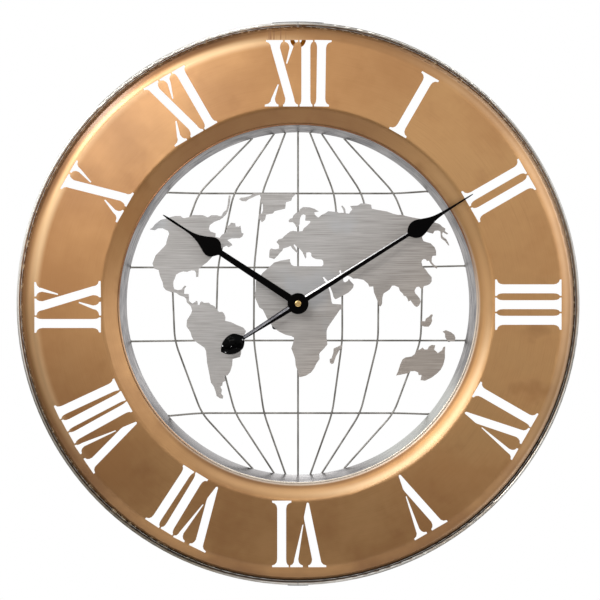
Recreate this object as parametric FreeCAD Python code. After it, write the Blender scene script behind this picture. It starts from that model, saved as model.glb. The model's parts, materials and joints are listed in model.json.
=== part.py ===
import FreeCAD, Part
import math
import os

Vector = FreeCAD.Vector

# Lengths are in millimetres. The dial axis runs along Y. Depths are counted from the wall
# towards the viewer, who looks along +Y, so a depth d lies at y = -d.

# Outer hoop, two half hoops of folded strip
outer_radius = 300.0
hoop_depth = 40.0
hoop_sheet = 1.2
hem_width = 3.0
hem_depth = 9.0
seam_gap = 0.6
top_strap_width = 55.0
bottom_strap_width = 22.0
strap_sheet = 0.9
strap_margin = 3.0

# Dial ring, pressed from one sheet. Widths run inwards from the outer edge.
ring_sheet = 1.0
ring_front = 42.0
face_width = 109.3
rim_width = 8.0
outer_bevel_width = 11.0
inner_bevel_width = 16.5
bevel_drop = 3.6
rim_drop = 7.0
inner_bevel_drop = 8.0
bevel_blend = 14.0
inner_blend = 12.0
rim_blend = 3.5
ring_fit = 0.1
rim_notch = 1.4

# Numerals, cut through the flat of the ring
numeral_margin = 0.6
cut_overrun = 5.0

# Inner hoop, a tapered band that carries the wire grid
band_taper = 6.4
band_wall = 1.7
band_back = 20.0
lip_height = 3.4
lip_rise = 1.4

# Wire grid and map plates
wire_diameter = 2.0
wire_bend = 12.0
map_sheet = 1.0
map_end_share = 0.9725
middle_stop_gap = 4.4
bead_radius = 1.5

# Hanger behind 12 o'clock
hanger_inset = 12.0
hanger_hole_radius = 4.0
hanger_half_width = 8.5
hanger_sheet = 1.5
hanger_leg = 14.0
rivet_radius = 1.2
rivet_head_radius = 2.4
rivet_head = 1.0
rivet_spacing = 10.0
rivet_depth = 9.0

# Movement case
case_size = 56.0
case_depth = 16.0
case_wall = 1.2
case_corner = 3.0
partition = 1.0
cover_gap = 0.15
post_radius = 1.4
post_shoulder = 1.0
post_inset = 3.4
rubber_sheet = 1.0
rubber_radius = 14.0

# Bush, washer and nut that clamp the movement to the map
bush_radius = 4.0
bush_bore_gap = 0.06
bush_flange_radius = 5.5
bush_flange = 0.8
bush_length = 17.5
thread_gap = 0.1
washer_radius = 8.0
washer_sheet = 0.6
nut_flats = 12.0
nut_height = 3.0

# Wheel train, in modules and tooth counts
train_module = 0.25
cannon_module = 0.45
cannon_teeth = 12
motion_teeth = 36
motion_pinion_teeth = 12
hour_teeth = 48
knob_teeth = 12
centre_teeth = 64
third_pinion_teeth = 8
third_teeth = 60
second_pinion_teeth = 8
second_teeth = 60
intermediate_pinion_teeth = 12
intermediate_teeth = 48
rotor_pinion_teeth = 8
addendum_share = 0.75
dedendum_share = 1.15
tooth_tip_share = 0.11
tooth_root_share = 0.27
wheel_sheet = 0.8
pinion_overlap = 0.1
layer_gap = 0.6
plate_gap = 0.4
front_gap = 0.3
middle_plate = 1.0
arbor_radius = 0.5
pivot_gap = 0.05
socket_depth = 0.6

# Directions from each arbor to the next, clockwise from 12 o'clock
third_angle = -45.0
second_angle = 10.0
intermediate_angle = 95.0
rotor_angle = 105.0
motion_angle = 85.0
knob_angle = 90.0

# Motor, circuit and cell
magnet_radius = 3.0
magnet_height = 1.6
stator_gap = 0.4
stator_sheet = 0.8
stator_drop = 1.2
stator_margin = 2.6
stator_arm = 3.0
core_width = 2.0
core_height = 1.0
coil_radius = 2.3
coil_flange_radius = 2.7
coil_flange = 0.5
coil_length = 13.0
coil_margin = 0.5
board_sheet = 0.8
board_width = 13.0
board_height = 29.0
board_gap = 0.3
chip_radius = 2.2
chip_height = 0.9
crystal_radius = 1.0
crystal_length = 6.0
cell_radius = 7.25
cell_length = 49.2
cell_nub_radius = 2.75
cell_nub = 1.3
cell_gap = 0.3
contact_sheet = 0.4
contact_width = 8.0
contact_gap = 0.1

# Shafts and hands
shaft_radius = 1.55
running_gap = 0.05
pipe_wall = 0.9
shaft_flange_radius = 2.2
shaft_flange = 0.3
clutch_radius = 3.2
clutch_sheet = 0.25
hand_sheet = 0.8
hour_hand_depth = 40.4
hand_gap = 2.8
hour_collet_wall = 0.9
hour_collet = 3.2
minute_collet_wall = 1.1
minute_collet = 2.0
hour_hub_radius = 10.0
minute_hub_radius = 11.2
nut_radius = 3.5
hand_nut_height = 3.4
nut_dome = 0.9
shaft_stub = 2.4
hour_length = 171.8
hour_root_half = 4.0
minute_length = 219.0
minute_root_half = 3.3
tail_root_half = 3.7
tail_tip_half = 1.9
tail_length = 70.0
weight_start = 67.6
weight_length = 28.7
weight_half_width = 10.4
weight_back_gap = 1.3
weight_flat_share = 0.4
hour_angle = 303.3
minute_angle = 57.96

# Setting knob on the back
knob_radius = 5.0
knob_height = 1.6
knob_gap = 0.25
knob_notches = 20
knob_notch_radius = 0.35
knob_arbor_radius = 0.8

# Places worked out from the sizes above
dial_drop = outer_radius - hanger_inset
hoop_inner = outer_radius - hoop_sheet
rim_radius = outer_radius - hem_width - ring_fit
band_front_radius = outer_radius - face_width
band_back_radius = band_front_radius - band_taper
band_outer = band_front_radius + band_wall
ring_inner = band_outer + ring_fit
ring_flat_inner = ring_inner + inner_bevel_width
bevel_outer = outer_radius - rim_width
ring_flat_outer = bevel_outer - outer_bevel_width
numeral_height = ring_flat_outer - ring_flat_inner - 2 * numeral_margin
numeral_centre = (ring_flat_outer + ring_flat_inner) / 2
ring_inner_depth = ring_front - inner_bevel_drop
lip_front = ring_inner_depth + lip_rise
wire_radius = wire_diameter / 2
meridian_depth = band_back - wire_radius
parallel_depth = meridian_depth - wire_diameter
wire_end_radius = band_back_radius + band_wall / 2
map_reach = wire_end_radius / map_end_share
map_front = band_back + map_sheet
case_front = band_back - rubber_sheet
case_back = case_front - case_depth
case_half = case_size / 2
inner_half = case_half - case_wall
inner_front = case_front - case_wall
cover_front = case_back + case_wall
bay_height = 2 * (cell_radius + cell_gap)
bay_top = bay_height - inner_half
train_floor = bay_top + partition
cell_height = cell_radius + cell_gap - inner_half
cell_depth = inner_front - cell_gap - cell_radius
pipe_inner = shaft_radius + running_gap
pipe_radius = pipe_inner + pipe_wall
bush_bore = pipe_radius + bush_bore_gap
bush_front = case_front + bush_length
minute_hand_depth = hour_hand_depth + hand_sheet + hand_gap
hands_front = minute_hand_depth + hand_sheet
shaft_front = hands_front + shaft_stub
knob_pivot = knob_arbor_radius + pivot_gap
pivot_hole = arbor_radius + pivot_gap


clutch_gap = (plate_gap - clutch_sheet) / 2


def layer_below(front, gap):
    """Back and front depths of a wheel that lies behind the given depth."""
    top = front - gap
    return top - wheel_sheet, top


hour_layer = layer_below(inner_front, front_gap)
motion_layer = layer_below(hour_layer[0], layer_gap)
plate_front = motion_layer[0] - plate_gap
plate_back = plate_front - middle_plate
centre_layer = layer_below(plate_back, plate_gap)
third_layer = layer_below(centre_layer[0], layer_gap)
second_layer = layer_below(third_layer[0], layer_gap)
intermediate_layer = layer_below(second_layer[0], layer_gap)
stator_front = intermediate_layer[0] - stator_drop
stator_back = stator_front - stator_sheet
arbor_back = cover_front - socket_depth
motion_pinion_module = cannon_module * (cannon_teeth + motion_teeth) / (motion_pinion_teeth + hour_teeth)


def clockwise(radius, angle):
    """Point at a radius and an angle clockwise from 12 o'clock."""
    turn = math.radians(angle)
    return radius * math.sin(turn), radius * math.cos(turn)


def beside(place, module, teeth_a, teeth_b, angle):
    """Centre of a wheel that meshes with the one at place."""
    x, z = clockwise(module * (teeth_a + teeth_b) / 2, angle)
    return place[0] + x, place[1] + z


dial_centre = (0.0, 0.0)
third_place = beside(dial_centre, train_module, centre_teeth, third_pinion_teeth, third_angle)
second_place = beside(third_place, train_module, third_teeth, second_pinion_teeth, second_angle)
intermediate_place = beside(second_place, train_module, second_teeth, intermediate_pinion_teeth, intermediate_angle)
rotor_place = beside(intermediate_place, train_module, intermediate_teeth, rotor_pinion_teeth, rotor_angle)
motion_place = beside(dial_centre, cannon_module, cannon_teeth, motion_teeth, motion_angle)
knob_place = beside(motion_place, cannon_module, motion_teeth, knob_teeth, knob_angle)

# Outlines of the map plates, as shares of the map's reach from the dial axis
americas_share = [
    (-0.840, 0.420), (-0.822, 0.432), (-0.811, 0.448), (-0.792, 0.463), (-0.778, 0.474),
    (-0.750, 0.481), (-0.715, 0.492), (-0.693, 0.496), (-0.664, 0.496), (-0.657, 0.488),
    (-0.646, 0.483), (-0.609, 0.492), (-0.598, 0.501), (-0.540, 0.501), (-0.528, 0.496),
    (-0.514, 0.489), (-0.503, 0.492), (-0.492, 0.500), (-0.456, 0.500), (-0.440, 0.494),
    (-0.431, 0.500), (-0.424, 0.516), (-0.406, 0.530), (-0.399, 0.560), (-0.392, 0.612),
    (-0.381, 0.612), (-0.387, 0.565), (-0.395, 0.528), (-0.408, 0.504), (-0.428, 0.484),
    (-0.444, 0.474), (-0.474, 0.463), (-0.500, 0.444), (-0.505, 0.422), (-0.496, 0.408),
    (-0.466, 0.398), (-0.468, 0.378), (-0.444, 0.372), (-0.431, 0.390), (-0.413, 0.399),
    (-0.402, 0.411), (-0.404, 0.435), (-0.389, 0.444), (-0.380, 0.458), (-0.356, 0.455),
    (-0.353, 0.436), (-0.334, 0.436), (-0.326, 0.442), (-0.320, 0.402), (-0.308, 0.396),
    (-0.317, 0.378), (-0.332, 0.370), (-0.377, 0.369), (-0.401, 0.360), (-0.383, 0.345),
    (-0.371, 0.331), (-0.394, 0.318), (-0.405, 0.328), (-0.430, 0.316), (-0.470, 0.285),
    (-0.496, 0.254), (-0.517, 0.232), (-0.538, 0.217), (-0.562, 0.196), (-0.563, 0.175),
    (-0.565, 0.150), (-0.577, 0.150), (-0.578, 0.175), (-0.586, 0.186), (-0.604, 0.188),
    (-0.628, 0.180), (-0.652, 0.182), (-0.673, 0.175), (-0.691, 0.163), (-0.697, 0.145),
    (-0.706, 0.124), (-0.707, 0.100), (-0.700, 0.082), (-0.682, 0.076), (-0.661, 0.079),
    (-0.643, 0.101), (-0.632, 0.099), (-0.643, 0.085), (-0.646, 0.055), (-0.619, 0.054),
    (-0.617, 0.014), (-0.598, 0.000), (-0.582, 0.010), (-0.575, 0.017), (-0.569, 0.010),
    (-0.568, -0.008), (-0.558, -0.008), (-0.554, 0.007), (-0.545, 0.013), (-0.532, 0.004),
    (-0.505, 0.005), (-0.496, -0.005), (-0.474, -0.014), (-0.463, -0.029), (-0.448, -0.047),
    (-0.427, -0.047), (-0.418, -0.060), (-0.411, -0.077), (-0.413, -0.098), (-0.380, -0.105),
    (-0.350, -0.120), (-0.310, -0.136), (-0.294, -0.156), (-0.301, -0.171), (-0.319, -0.226),
    (-0.323, -0.284), (-0.329, -0.303), (-0.371, -0.314), (-0.373, -0.350), (-0.385, -0.387),
    (-0.400, -0.407), (-0.420, -0.409), (-0.411, -0.438), (-0.427, -0.446), (-0.429, -0.464),
    (-0.440, -0.471), (-0.431, -0.490), (-0.435, -0.511), (-0.424, -0.523), (-0.426, -0.539),
    (-0.442, -0.537), (-0.462, -0.523), (-0.466, -0.501), (-0.478, -0.468), (-0.493, -0.449),
    (-0.504, -0.391), (-0.515, -0.336), (-0.521, -0.270), (-0.530, -0.250), (-0.559, -0.230),
    (-0.592, -0.206), (-0.603, -0.185), (-0.610, -0.160), (-0.632, -0.129), (-0.629, -0.094),
    (-0.605, -0.056), (-0.600, -0.038), (-0.606, -0.018), (-0.616, -0.006), (-0.630, 0.007),
    (-0.634, 0.028), (-0.646, 0.038), (-0.670, 0.046), (-0.691, 0.061), (-0.718, 0.064),
    (-0.748, 0.076), (-0.763, 0.094), (-0.766, 0.118), (-0.781, 0.154), (-0.790, 0.190),
    (-0.814, 0.198), (-0.825, 0.228), (-0.818, 0.243), (-0.807, 0.272), (-0.789, 0.291),
    (-0.760, 0.320), (-0.748, 0.335), (-0.743, 0.357), (-0.730, 0.397), (-0.737, 0.412),
    (-0.767, 0.426), (-0.792, 0.426), (-0.811, 0.415),
]
greenland_share = [
    (-0.334, 0.592), (-0.323, 0.600), (-0.301, 0.602), (-0.272, 0.609), (-0.262, 0.616),
    (-0.250, 0.626), (-0.200, 0.624), (-0.044, 0.624), (-0.011, 0.622), (-0.033, 0.600),
    (-0.038, 0.583), (-0.068, 0.574), (-0.073, 0.537), (-0.132, 0.524), (-0.143, 0.510),
    (-0.180, 0.504), (-0.187, 0.475), (-0.205, 0.460), (-0.213, 0.471), (-0.224, 0.478),
    (-0.221, 0.508), (-0.204, 0.511), (-0.198, 0.530), (-0.200, 0.563), (-0.210, 0.570),
    (-0.211, 0.603), (-0.217, 0.616), (-0.235, 0.612), (-0.253, 0.603), (-0.283, 0.589),
    (-0.294, 0.579), (-0.319, 0.581),
]
eurasia_africa_share = [
    (-0.164, 0.261), (-0.161, 0.303), (-0.152, 0.312), (-0.128, 0.307), (-0.108, 0.312),
    (-0.107, 0.330), (-0.122, 0.348), (-0.110, 0.364), (-0.089, 0.369), (-0.078, 0.382),
    (-0.060, 0.397), (-0.045, 0.408), (-0.027, 0.412), (-0.004, 0.408), (0.025, 0.410),
    (0.032, 0.426), (0.047, 0.437), (0.061, 0.450), (0.069, 0.459), (0.069, 0.468),
    (0.041, 0.470), (0.043, 0.500), (0.030, 0.506), (0.018, 0.498), (0.011, 0.480),
    (0.009, 0.450), (-0.002, 0.431), (-0.010, 0.434), (-0.018, 0.450), (-0.030, 0.461),
    (-0.050, 0.461), (-0.054, 0.468), (-0.045, 0.481), (-0.031, 0.484), (-0.026, 0.500),
    (-0.010, 0.514), (0.003, 0.520), (0.012, 0.535), (0.030, 0.547), (0.065, 0.545),
    (0.094, 0.536), (0.118, 0.521), (0.093, 0.517), (0.095, 0.503), (0.114, 0.487),
    (0.135, 0.503), (0.153, 0.511), (0.171, 0.523), (0.204, 0.520), (0.219, 0.522),
    (0.230, 0.514), (0.259, 0.514), (0.256, 0.532), (0.244, 0.552), (0.252, 0.555),
    (0.267, 0.536), (0.271, 0.511), (0.289, 0.509), (0.296, 0.521), (0.307, 0.532),
    (0.296, 0.552), (0.340, 0.556), (0.355, 0.567), (0.380, 0.567), (0.414, 0.560),
    (0.418, 0.537), (0.454, 0.530), (0.502, 0.522), (0.534, 0.510), (0.566, 0.502),
    (0.590, 0.503), (0.610, 0.496), (0.646, 0.488), (0.680, 0.482), (0.730, 0.474),
    (0.774, 0.459), (0.802, 0.450), (0.818, 0.434), (0.834, 0.426), (0.832, 0.410),
    (0.851, 0.395), (0.844, 0.391), (0.820, 0.405), (0.816, 0.392), (0.819, 0.380),
    (0.840, 0.364), (0.850, 0.346), (0.857, 0.328), (0.851, 0.330), (0.833, 0.353),
    (0.810, 0.370), (0.808, 0.388), (0.807, 0.408), (0.794, 0.414), (0.774, 0.412),
    (0.764, 0.396), (0.726, 0.406), (0.710, 0.394), (0.702, 0.374), (0.710, 0.354),
    (0.726, 0.348), (0.750, 0.342), (0.774, 0.318), (0.782, 0.298), (0.782, 0.272),
    (0.762, 0.270), (0.757, 0.254), (0.757, 0.236), (0.770, 0.220), (0.790, 0.207),
    (0.787, 0.198), (0.776, 0.202), (0.763, 0.214), (0.750, 0.228), (0.742, 0.243),
    (0.730, 0.241), (0.724, 0.250), (0.712, 0.253), (0.701, 0.244), (0.696, 0.222),
    (0.702, 0.210), (0.720, 0.197), (0.737, 0.172), (0.757, 0.150), (0.757, 0.126),
    (0.748, 0.112), (0.732, 0.103), (0.713, 0.099), (0.708, 0.086), (0.698, 0.082),
    (0.690, 0.092), (0.680, 0.096), (0.668, 0.090), (0.660, 0.072), (0.664, 0.058),
    (0.677, 0.045), (0.690, 0.028), (0.695, 0.010), (0.686, -0.010), (0.673, -0.020),
    (0.661, -0.014), (0.648, 0.002), (0.638, 0.018), (0.625, 0.012), (0.620, 0.028),
    (0.611, 0.041), (0.600, 0.043), (0.592, 0.058), (0.578, 0.070), (0.570, 0.092),
    (0.547, 0.102), (0.532, 0.101), (0.518, 0.079), (0.485, 0.057), (0.478, 0.035),
    (0.476, -0.002), (0.467, -0.017), (0.457, -0.009), (0.448, 0.020), (0.430, 0.064),
    (0.426, 0.097), (0.404, 0.095), (0.397, 0.112), (0.371, 0.134), (0.338, 0.141),
    (0.312, 0.141), (0.299, 0.151), (0.284, 0.157), (0.264, 0.164), (0.250, 0.178),
    (0.239, 0.190), (0.233, 0.184), (0.240, 0.166), (0.254, 0.148), (0.255, 0.128),
    (0.266, 0.120), (0.280, 0.127), (0.289, 0.140), (0.296, 0.128), (0.316, 0.107),
    (0.312, 0.090), (0.302, 0.078), (0.285, 0.062), (0.262, 0.049), (0.221, 0.028),
    (0.210, 0.024), (0.201, 0.038), (0.194, 0.064), (0.182, 0.093), (0.168, 0.128),
    (0.147, 0.151), (0.136, 0.145), (0.158, 0.120), (0.172, 0.092), (0.183, 0.057),
    (0.190, 0.010), (0.196, -0.002), (0.251, -0.005), (0.251, -0.030), (0.237, -0.035),
    (0.218, -0.063), (0.195, -0.096), (0.167, -0.138), (0.162, -0.156), (0.162, -0.198),
    (0.167, -0.231), (0.148, -0.254), (0.125, -0.277), (0.120, -0.287), (0.122, -0.315),
    (0.102, -0.343), (0.092, -0.366), (0.074, -0.390), (0.046, -0.408), (0.013, -0.417),
    (0.003, -0.412), (-0.002, -0.380), (-0.013, -0.352), (-0.017, -0.310), (-0.029, -0.277),
    (-0.038, -0.254), (-0.026, -0.217), (-0.022, -0.193), (-0.038, -0.184), (-0.071, -0.177),
    (-0.113, -0.156), (-0.150, -0.123), (-0.174, -0.086), (-0.188, -0.058), (-0.199, -0.035),
    (-0.220, -0.021), (-0.248, 0.044), (-0.241, 0.072), (-0.239, 0.128), (-0.220, 0.150),
    (-0.199, 0.175), (-0.178, 0.194), (-0.146, 0.222), (-0.136, 0.232), (-0.100, 0.243),
    (-0.045, 0.252), (-0.045, 0.236), (-0.038, 0.221), (-0.023, 0.212), (0.047, 0.211),
    (0.134, 0.211), (0.144, 0.221), (0.142, 0.243), (0.132, 0.250), (0.102, 0.252),
    (0.084, 0.260), (0.076, 0.269), (0.074, 0.286), (0.064, 0.291), (0.047, 0.289),
    (0.047, 0.262), (0.042, 0.254), (0.035, 0.269), (0.025, 0.291), (0.014, 0.305),
    (0.002, 0.315), (-0.010, 0.324), (-0.021, 0.337), (-0.025, 0.330), (-0.014, 0.312),
    (0.000, 0.292), (-0.001, 0.284), (-0.014, 0.294), (-0.031, 0.310), (-0.042, 0.327),
    (-0.063, 0.318), (-0.084, 0.312), (-0.089, 0.300), (-0.107, 0.282), (-0.113, 0.273),
    (-0.135, 0.252),
]
madagascar_share = [
    (0.251, -0.231), (0.223, -0.245), (0.202, -0.254), (0.200, -0.278), (0.190, -0.310),
    (0.179, -0.315), (0.181, -0.336), (0.190, -0.343), (0.202, -0.338), (0.214, -0.301),
    (0.232, -0.268), (0.247, -0.254),
]
borneo_share = [
    (0.698, -0.100), (0.720, -0.100), (0.724, -0.085), (0.742, -0.074), (0.755, -0.060),
    (0.764, -0.064), (0.757, -0.082), (0.760, -0.097), (0.753, -0.115), (0.740, -0.131),
    (0.716, -0.131), (0.698, -0.124),
]
new_guinea_share = [
    (0.819, -0.159), (0.837, -0.150), (0.866, -0.162), (0.885, -0.177), (0.892, -0.195),
    (0.887, -0.214), (0.848, -0.214), (0.834, -0.192), (0.832, -0.170),
]
australia_share = [
    (0.672, -0.265), (0.694, -0.258), (0.705, -0.249), (0.716, -0.260), (0.733, -0.260),
    (0.742, -0.243), (0.757, -0.234), (0.777, -0.236), (0.771, -0.261), (0.793, -0.280),
    (0.815, -0.265), (0.823, -0.247), (0.834, -0.243), (0.832, -0.272), (0.832, -0.309),
    (0.823, -0.346), (0.808, -0.375), (0.786, -0.397), (0.757, -0.419), (0.720, -0.437),
    (0.694, -0.434), (0.700, -0.405), (0.683, -0.405), (0.680, -0.390), (0.661, -0.382),
    (0.636, -0.384), (0.625, -0.395), (0.595, -0.400), (0.555, -0.408), (0.566, -0.386),
    (0.579, -0.345), (0.592, -0.316), (0.610, -0.305), (0.643, -0.300), (0.665, -0.283),
]

# Heights of the parallel wires at the left end, across the middle and at the right end,
# and where each meridian wire crosses them, as shares of the map's reach
parallel_bend_share = 0.56
parallel_share = [
    (0.630, 0.625, 0.637), (0.205, 0.205, 0.214), (-0.215, -0.210, -0.210), (-0.638, -0.622, -0.628),
]
meridian_share = [
    (-0.258, -0.563, -0.716, -0.699, -0.547, -0.255), (-0.135, -0.365, -0.455, -0.466, -0.357, -0.135),
    (-0.071, -0.205, -0.249, -0.251, -0.194, -0.070), (0.067, 0.205, 0.251, 0.251, 0.194, 0.069),
    (0.134, 0.362, 0.457, 0.454, 0.353, 0.134), (0.260, 0.546, 0.707, 0.696, 0.542, 0.259),
]

# Letters of the numerals from one o'clock, as shares of the numeral height: letter, place, lean in
# degrees, then for an I how far its serifs reach at the top left, top right, bottom left and bottom
# right, and for a V or X how far its right serifs reach
numeral_letter_share = [
    [("I", 0.015, 0.0, 0.146, 0.146, 0.146, 0.146)],
    [("I", -0.085, 0.0, 0.145, 0.110, 0.145, 0.110), ("I", 0.165, 0.0, 0.110, 0.138, 0.110, 0.138)],
    [("I", -0.222, 0.0, 0.140, 0.106, 0.140, 0.106), ("I", 0.016, 0.0, 0.106, 0.104, 0.106, 0.104),
     ("I", 0.251, 0.0, 0.104, 0.142, 0.104, 0.142)],
    [("I", -0.228, 0.0, 0.143, 0.090, 0.130, 0.130), ("V", 0.157, 0.0, 0.270)],
    [("V", -0.034, 0.0, 0.290)],
    [("V", -0.150, 0.0, 0.266), ("I", 0.245, 0.0, 0.105, 0.144, 0.145, 0.144)],
    [("V", -0.359, 3.5, 0.262), ("I", -0.016, -1.2, 0.098, 0.105, 0.127, 0.088),
     ("I", 0.202, -3.2, 0.105, 0.141, 0.088, 0.104)],
    [("V", -0.370, 4.0, 0.235), ("I", -0.055, -1.0, 0.095, 0.088, 0.096, 0.077),
     ("I", 0.135, -2.3, 0.088, 0.104, 0.077, 0.080), ("I", 0.343, -5.0, 0.104, 0.115, 0.080, 0.108)],
    [("I", -0.299, 0.0, 0.139, 0.098, 0.134, 0.092), ("X", 0.077, 0.9, 0.255)],
    [("X", -0.041, 0.0, 0.243)],
    [("X", -0.154, 0.0, 0.226), ("I", 0.204, 0.0, 0.108, 0.108, 0.108, 0.108)],
    [("X", -0.235, 0.0, 0.235), ("I", 0.118, 0.0, 0.094, 0.106, 0.094, 0.099),
     ("I", 0.348, -0.9, 0.106, 0.150, 0.099, 0.124)],
]

# A serif from its outer end in to the stroke: share of its reach beyond the stroke, depth as a share
# of the numeral height
serif_curve_share = [(1.0, 0.0), (1.0, 0.028), (0.45, 0.044), (0.12, 0.076), (0.0, 0.120)]
stem_half_share = 0.067

# Stencil parts of the letters, as shares of the numeral height from the letter's middle. Two values
# are a corner. Three are a serif: its outer end, the stroke's edge, and 1 for the top or -1 for the
# bottom. An outer end of zero is the letter's own right reach.
letter_v_shares = [
    [(-0.275, -0.190, 1), (-0.014, -0.460), (0.004, -0.474), (0.020, -0.462), (0.060, -0.262), (0.059, -0.225),
     (-0.005, -0.062, 1)],
    [(0.078, 0.146, 1), (0.068, -0.143), (0.084, -0.137), (0.0, 0.206, 1)],
]
letter_x_shares = [
    [(-0.246, -0.170, 1), (0.010, 0.045, -1), (0.0, 0.177, -1), (0.006, -0.036, 1)],
    [(0.038, 0.108, 1), (0.055, 0.145), (0.074, 0.143), (0.0, 0.160, 1)],
    [(-0.264, -0.166, -1), (-0.071, -0.165), (-0.052, -0.170), (-0.058, -0.112, -1)],
]

# Half widths of the hands beyond their shafts: share of the length, share of the length
hour_blade_share = [
    (0.576, 0.0180), (0.590, 0.0330), (0.611, 0.0540), (0.634, 0.0620), (0.658, 0.0585), (0.687, 0.0445),
    (0.722, 0.0280), (0.768, 0.0140), (0.844, 0.0070), (1.0, 0.0025),
]
minute_blade_share = [
    (0.630, 0.0090), (0.638, 0.0190), (0.652, 0.0330), (0.671, 0.0415), (0.690, 0.0425), (0.709, 0.0375),
    (0.732, 0.0285), (0.760, 0.0180), (0.788, 0.0115), (0.830, 0.0075), (0.900, 0.0050), (1.0, 0.0020),
]

# Half widths of the counterweight: share of its length, share of its half width
weight_share = [
    (0.0, 0.18), (0.07, 0.42), (0.24, 0.88), (0.43, 1.0), (0.61, 0.93), (0.81, 0.66), (0.92, 0.36), (1.0, 0.03),
]

# Stator outline corners around the rotor, as shares of the reach from the rotor to the coil
stator_foot_share = 0.50
contact_bump_share = 0.35

# Heights of the parts on the circuit board, as shares of its height
chip_share = 0.55
crystal_share = 0.18


def at_depth(x, depth, z):
    """Vector at a place on the dial and a depth from the wall."""
    return Vector(x, -depth, z)


def disc(radius, back, front, place=dial_centre):
    """Cylinder along the dial axis between two depths."""
    return Part.makeCylinder(radius, front - back, at_depth(place[0], back, place[1]), Vector(0, -1, 0))


def sleeve(radius, bore, back, front, place=dial_centre):
    """Tube along the dial axis between two depths."""
    return disc(radius, back, front, place).cut(disc(bore, back, front, place))


def block(left, right, bottom, top, back, front):
    """Box between two depths, given by its sides on the dial."""
    return Part.makeBox(right - left, front - back, top - bottom, at_depth(left, front, bottom))


def prism(points, back, front):
    """Flat sided plate of an outline on the dial, between two depths."""
    corners = [at_depth(x, back, z) for x, z in points]
    face = Part.Face(Part.makePolygon(corners + corners[:1]))
    return face.extrude(Vector(0, back - front, 0))


def profile_point(radius, depth):
    """Vector in the half plane through 12 o'clock that profiles are drawn in."""
    return Vector(0, -depth, radius)


def spun(face, start=0.0, turn=360.0):
    """Solid of revolution about the dial axis, starting at an angle clockwise from 12."""
    face = face.copy()
    face.rotate(Vector(0, 0, 0), Vector(0, 1, 0), start)
    return face.revolve(Vector(0, 0, 0), Vector(0, 1, 0), turn)


def profile_face(points):
    """Face of a straight sided profile of radius and depth pairs."""
    corners = [profile_point(radius, depth) for radius, depth in points]
    return Part.Face(Part.makePolygon(corners + corners[:1]))


def offset_path(points, distance):
    """Path moved towards the wall side by a distance, with mitred corners."""
    normals = []
    for (r0, d0), (r1, d1) in zip(points, points[1:]):
        length = math.hypot(r1 - r0, d1 - d0)
        normals.append(((d1 - d0) / length, -(r1 - r0) / length))
    joined = [normals[0]]
    for (r0, d0), (r1, d1) in zip(normals, normals[1:]):
        spread = 1 + r0 * r1 + d0 * d1
        joined.append(((r0 + r1) / spread, (d0 + d1) / spread))
    joined.append(normals[-1])
    return [(r + distance * nr, d + distance * nd) for (r, d), (nr, nd) in zip(points, joined)]


def bent_edges(corners, reaches):
    """Edges of a path through corners, where each inner corner is an arc of a given tangent length."""
    edges = []
    start = corners[0]
    for before, corner, after, reach in zip(corners, corners[1:], corners[2:], reaches):
        back_way = (before - corner).normalize()
        front_way = (after - corner).normalize()
        half = back_way.getAngle(front_way) / 2
        middle_way = (back_way + front_way).normalize()
        arc_start = corner + back_way * reach
        arc_middle = corner + middle_way * (reach / math.cos(half) - reach * math.tan(half))
        arc_end = corner + front_way * reach
        edges.append(Part.makeLine(start, arc_start))
        edges.append(Part.Arc(arc_start, arc_middle, arc_end).toShape())
        start = arc_end
    edges.append(Part.makeLine(start, corners[-1]))
    return edges


def rounded_edges(points, radii):
    """Edges of a profile path whose inner corners are rounded to given radii."""
    corners = [profile_point(radius, depth) for radius, depth in points]
    reaches = []
    for before, corner, after, radius in zip(corners, corners[1:], corners[2:], radii):
        reaches.append(radius / math.tan((before - corner).getAngle(after - corner) / 2))
    return bent_edges(corners, reaches)


def sheet_face(points, sheet, radii):
    """Face of a bent sheet whose front follows a path, with concentric bends."""
    back_points = offset_path(points, sheet)
    front_edges = rounded_edges(points, radii)
    back_edges = rounded_edges(back_points, [radius - sheet for radius in radii])
    first = Part.makeLine(profile_point(*points[0]), profile_point(*back_points[0]))
    last = Part.makeLine(profile_point(*points[-1]), profile_point(*back_points[-1]))
    return Part.Face(Part.Wire(Part.__sortEdges__(front_edges + back_edges + [first, last])))


def fused(shapes):
    """One solid from shapes that meet."""
    whole = shapes[0]
    for shape in shapes[1:]:
        whole = whole.fuse(shape)
    return whole.removeSplitter()


# Hoops, straps and ring


def hoop_profile():
    """Strip with its front edge folded inwards into a hem."""
    fold = hem_width / 2
    fold_depth = hoop_depth - fold
    fold_radius = outer_radius - fold
    hem_inner = outer_radius - hem_width
    hem_back = hoop_depth - hem_depth
    inner_fold = fold - hoop_sheet
    corners = [
        profile_point(outer_radius, 0), profile_point(outer_radius, fold_depth),
        profile_point(hem_inner, fold_depth), profile_point(hem_inner, hem_back),
        profile_point(hem_inner + hoop_sheet, hem_back), profile_point(hem_inner + hoop_sheet, fold_depth),
        profile_point(hoop_inner, fold_depth), profile_point(hoop_inner, 0),
    ]
    outer_top = profile_point(fold_radius, hoop_depth)
    inner_top = profile_point(fold_radius, fold_depth + inner_fold)
    edges = [
        Part.makeLine(corners[0], corners[1]), Part.Arc(corners[1], outer_top, corners[2]).toShape(),
        Part.makeLine(corners[2], corners[3]), Part.makeLine(corners[3], corners[4]),
        Part.makeLine(corners[4], corners[5]), Part.Arc(corners[5], inner_top, corners[6]).toShape(),
        Part.makeLine(corners[6], corners[7]), Part.makeLine(corners[7], corners[0]),
    ]
    return Part.Face(Part.Wire(edges))


def hanger_leg_inner():
    """Height at which the rivets' inner heads clear the curved leg."""
    return math.sqrt((hoop_inner - hanger_sheet) ** 2 - (rivet_spacing / 2 + rivet_head_radius) ** 2)


def rivet_places():
    """Sideways places of the two hanger rivets."""
    return [-rivet_spacing / 2, rivet_spacing / 2]


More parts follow.
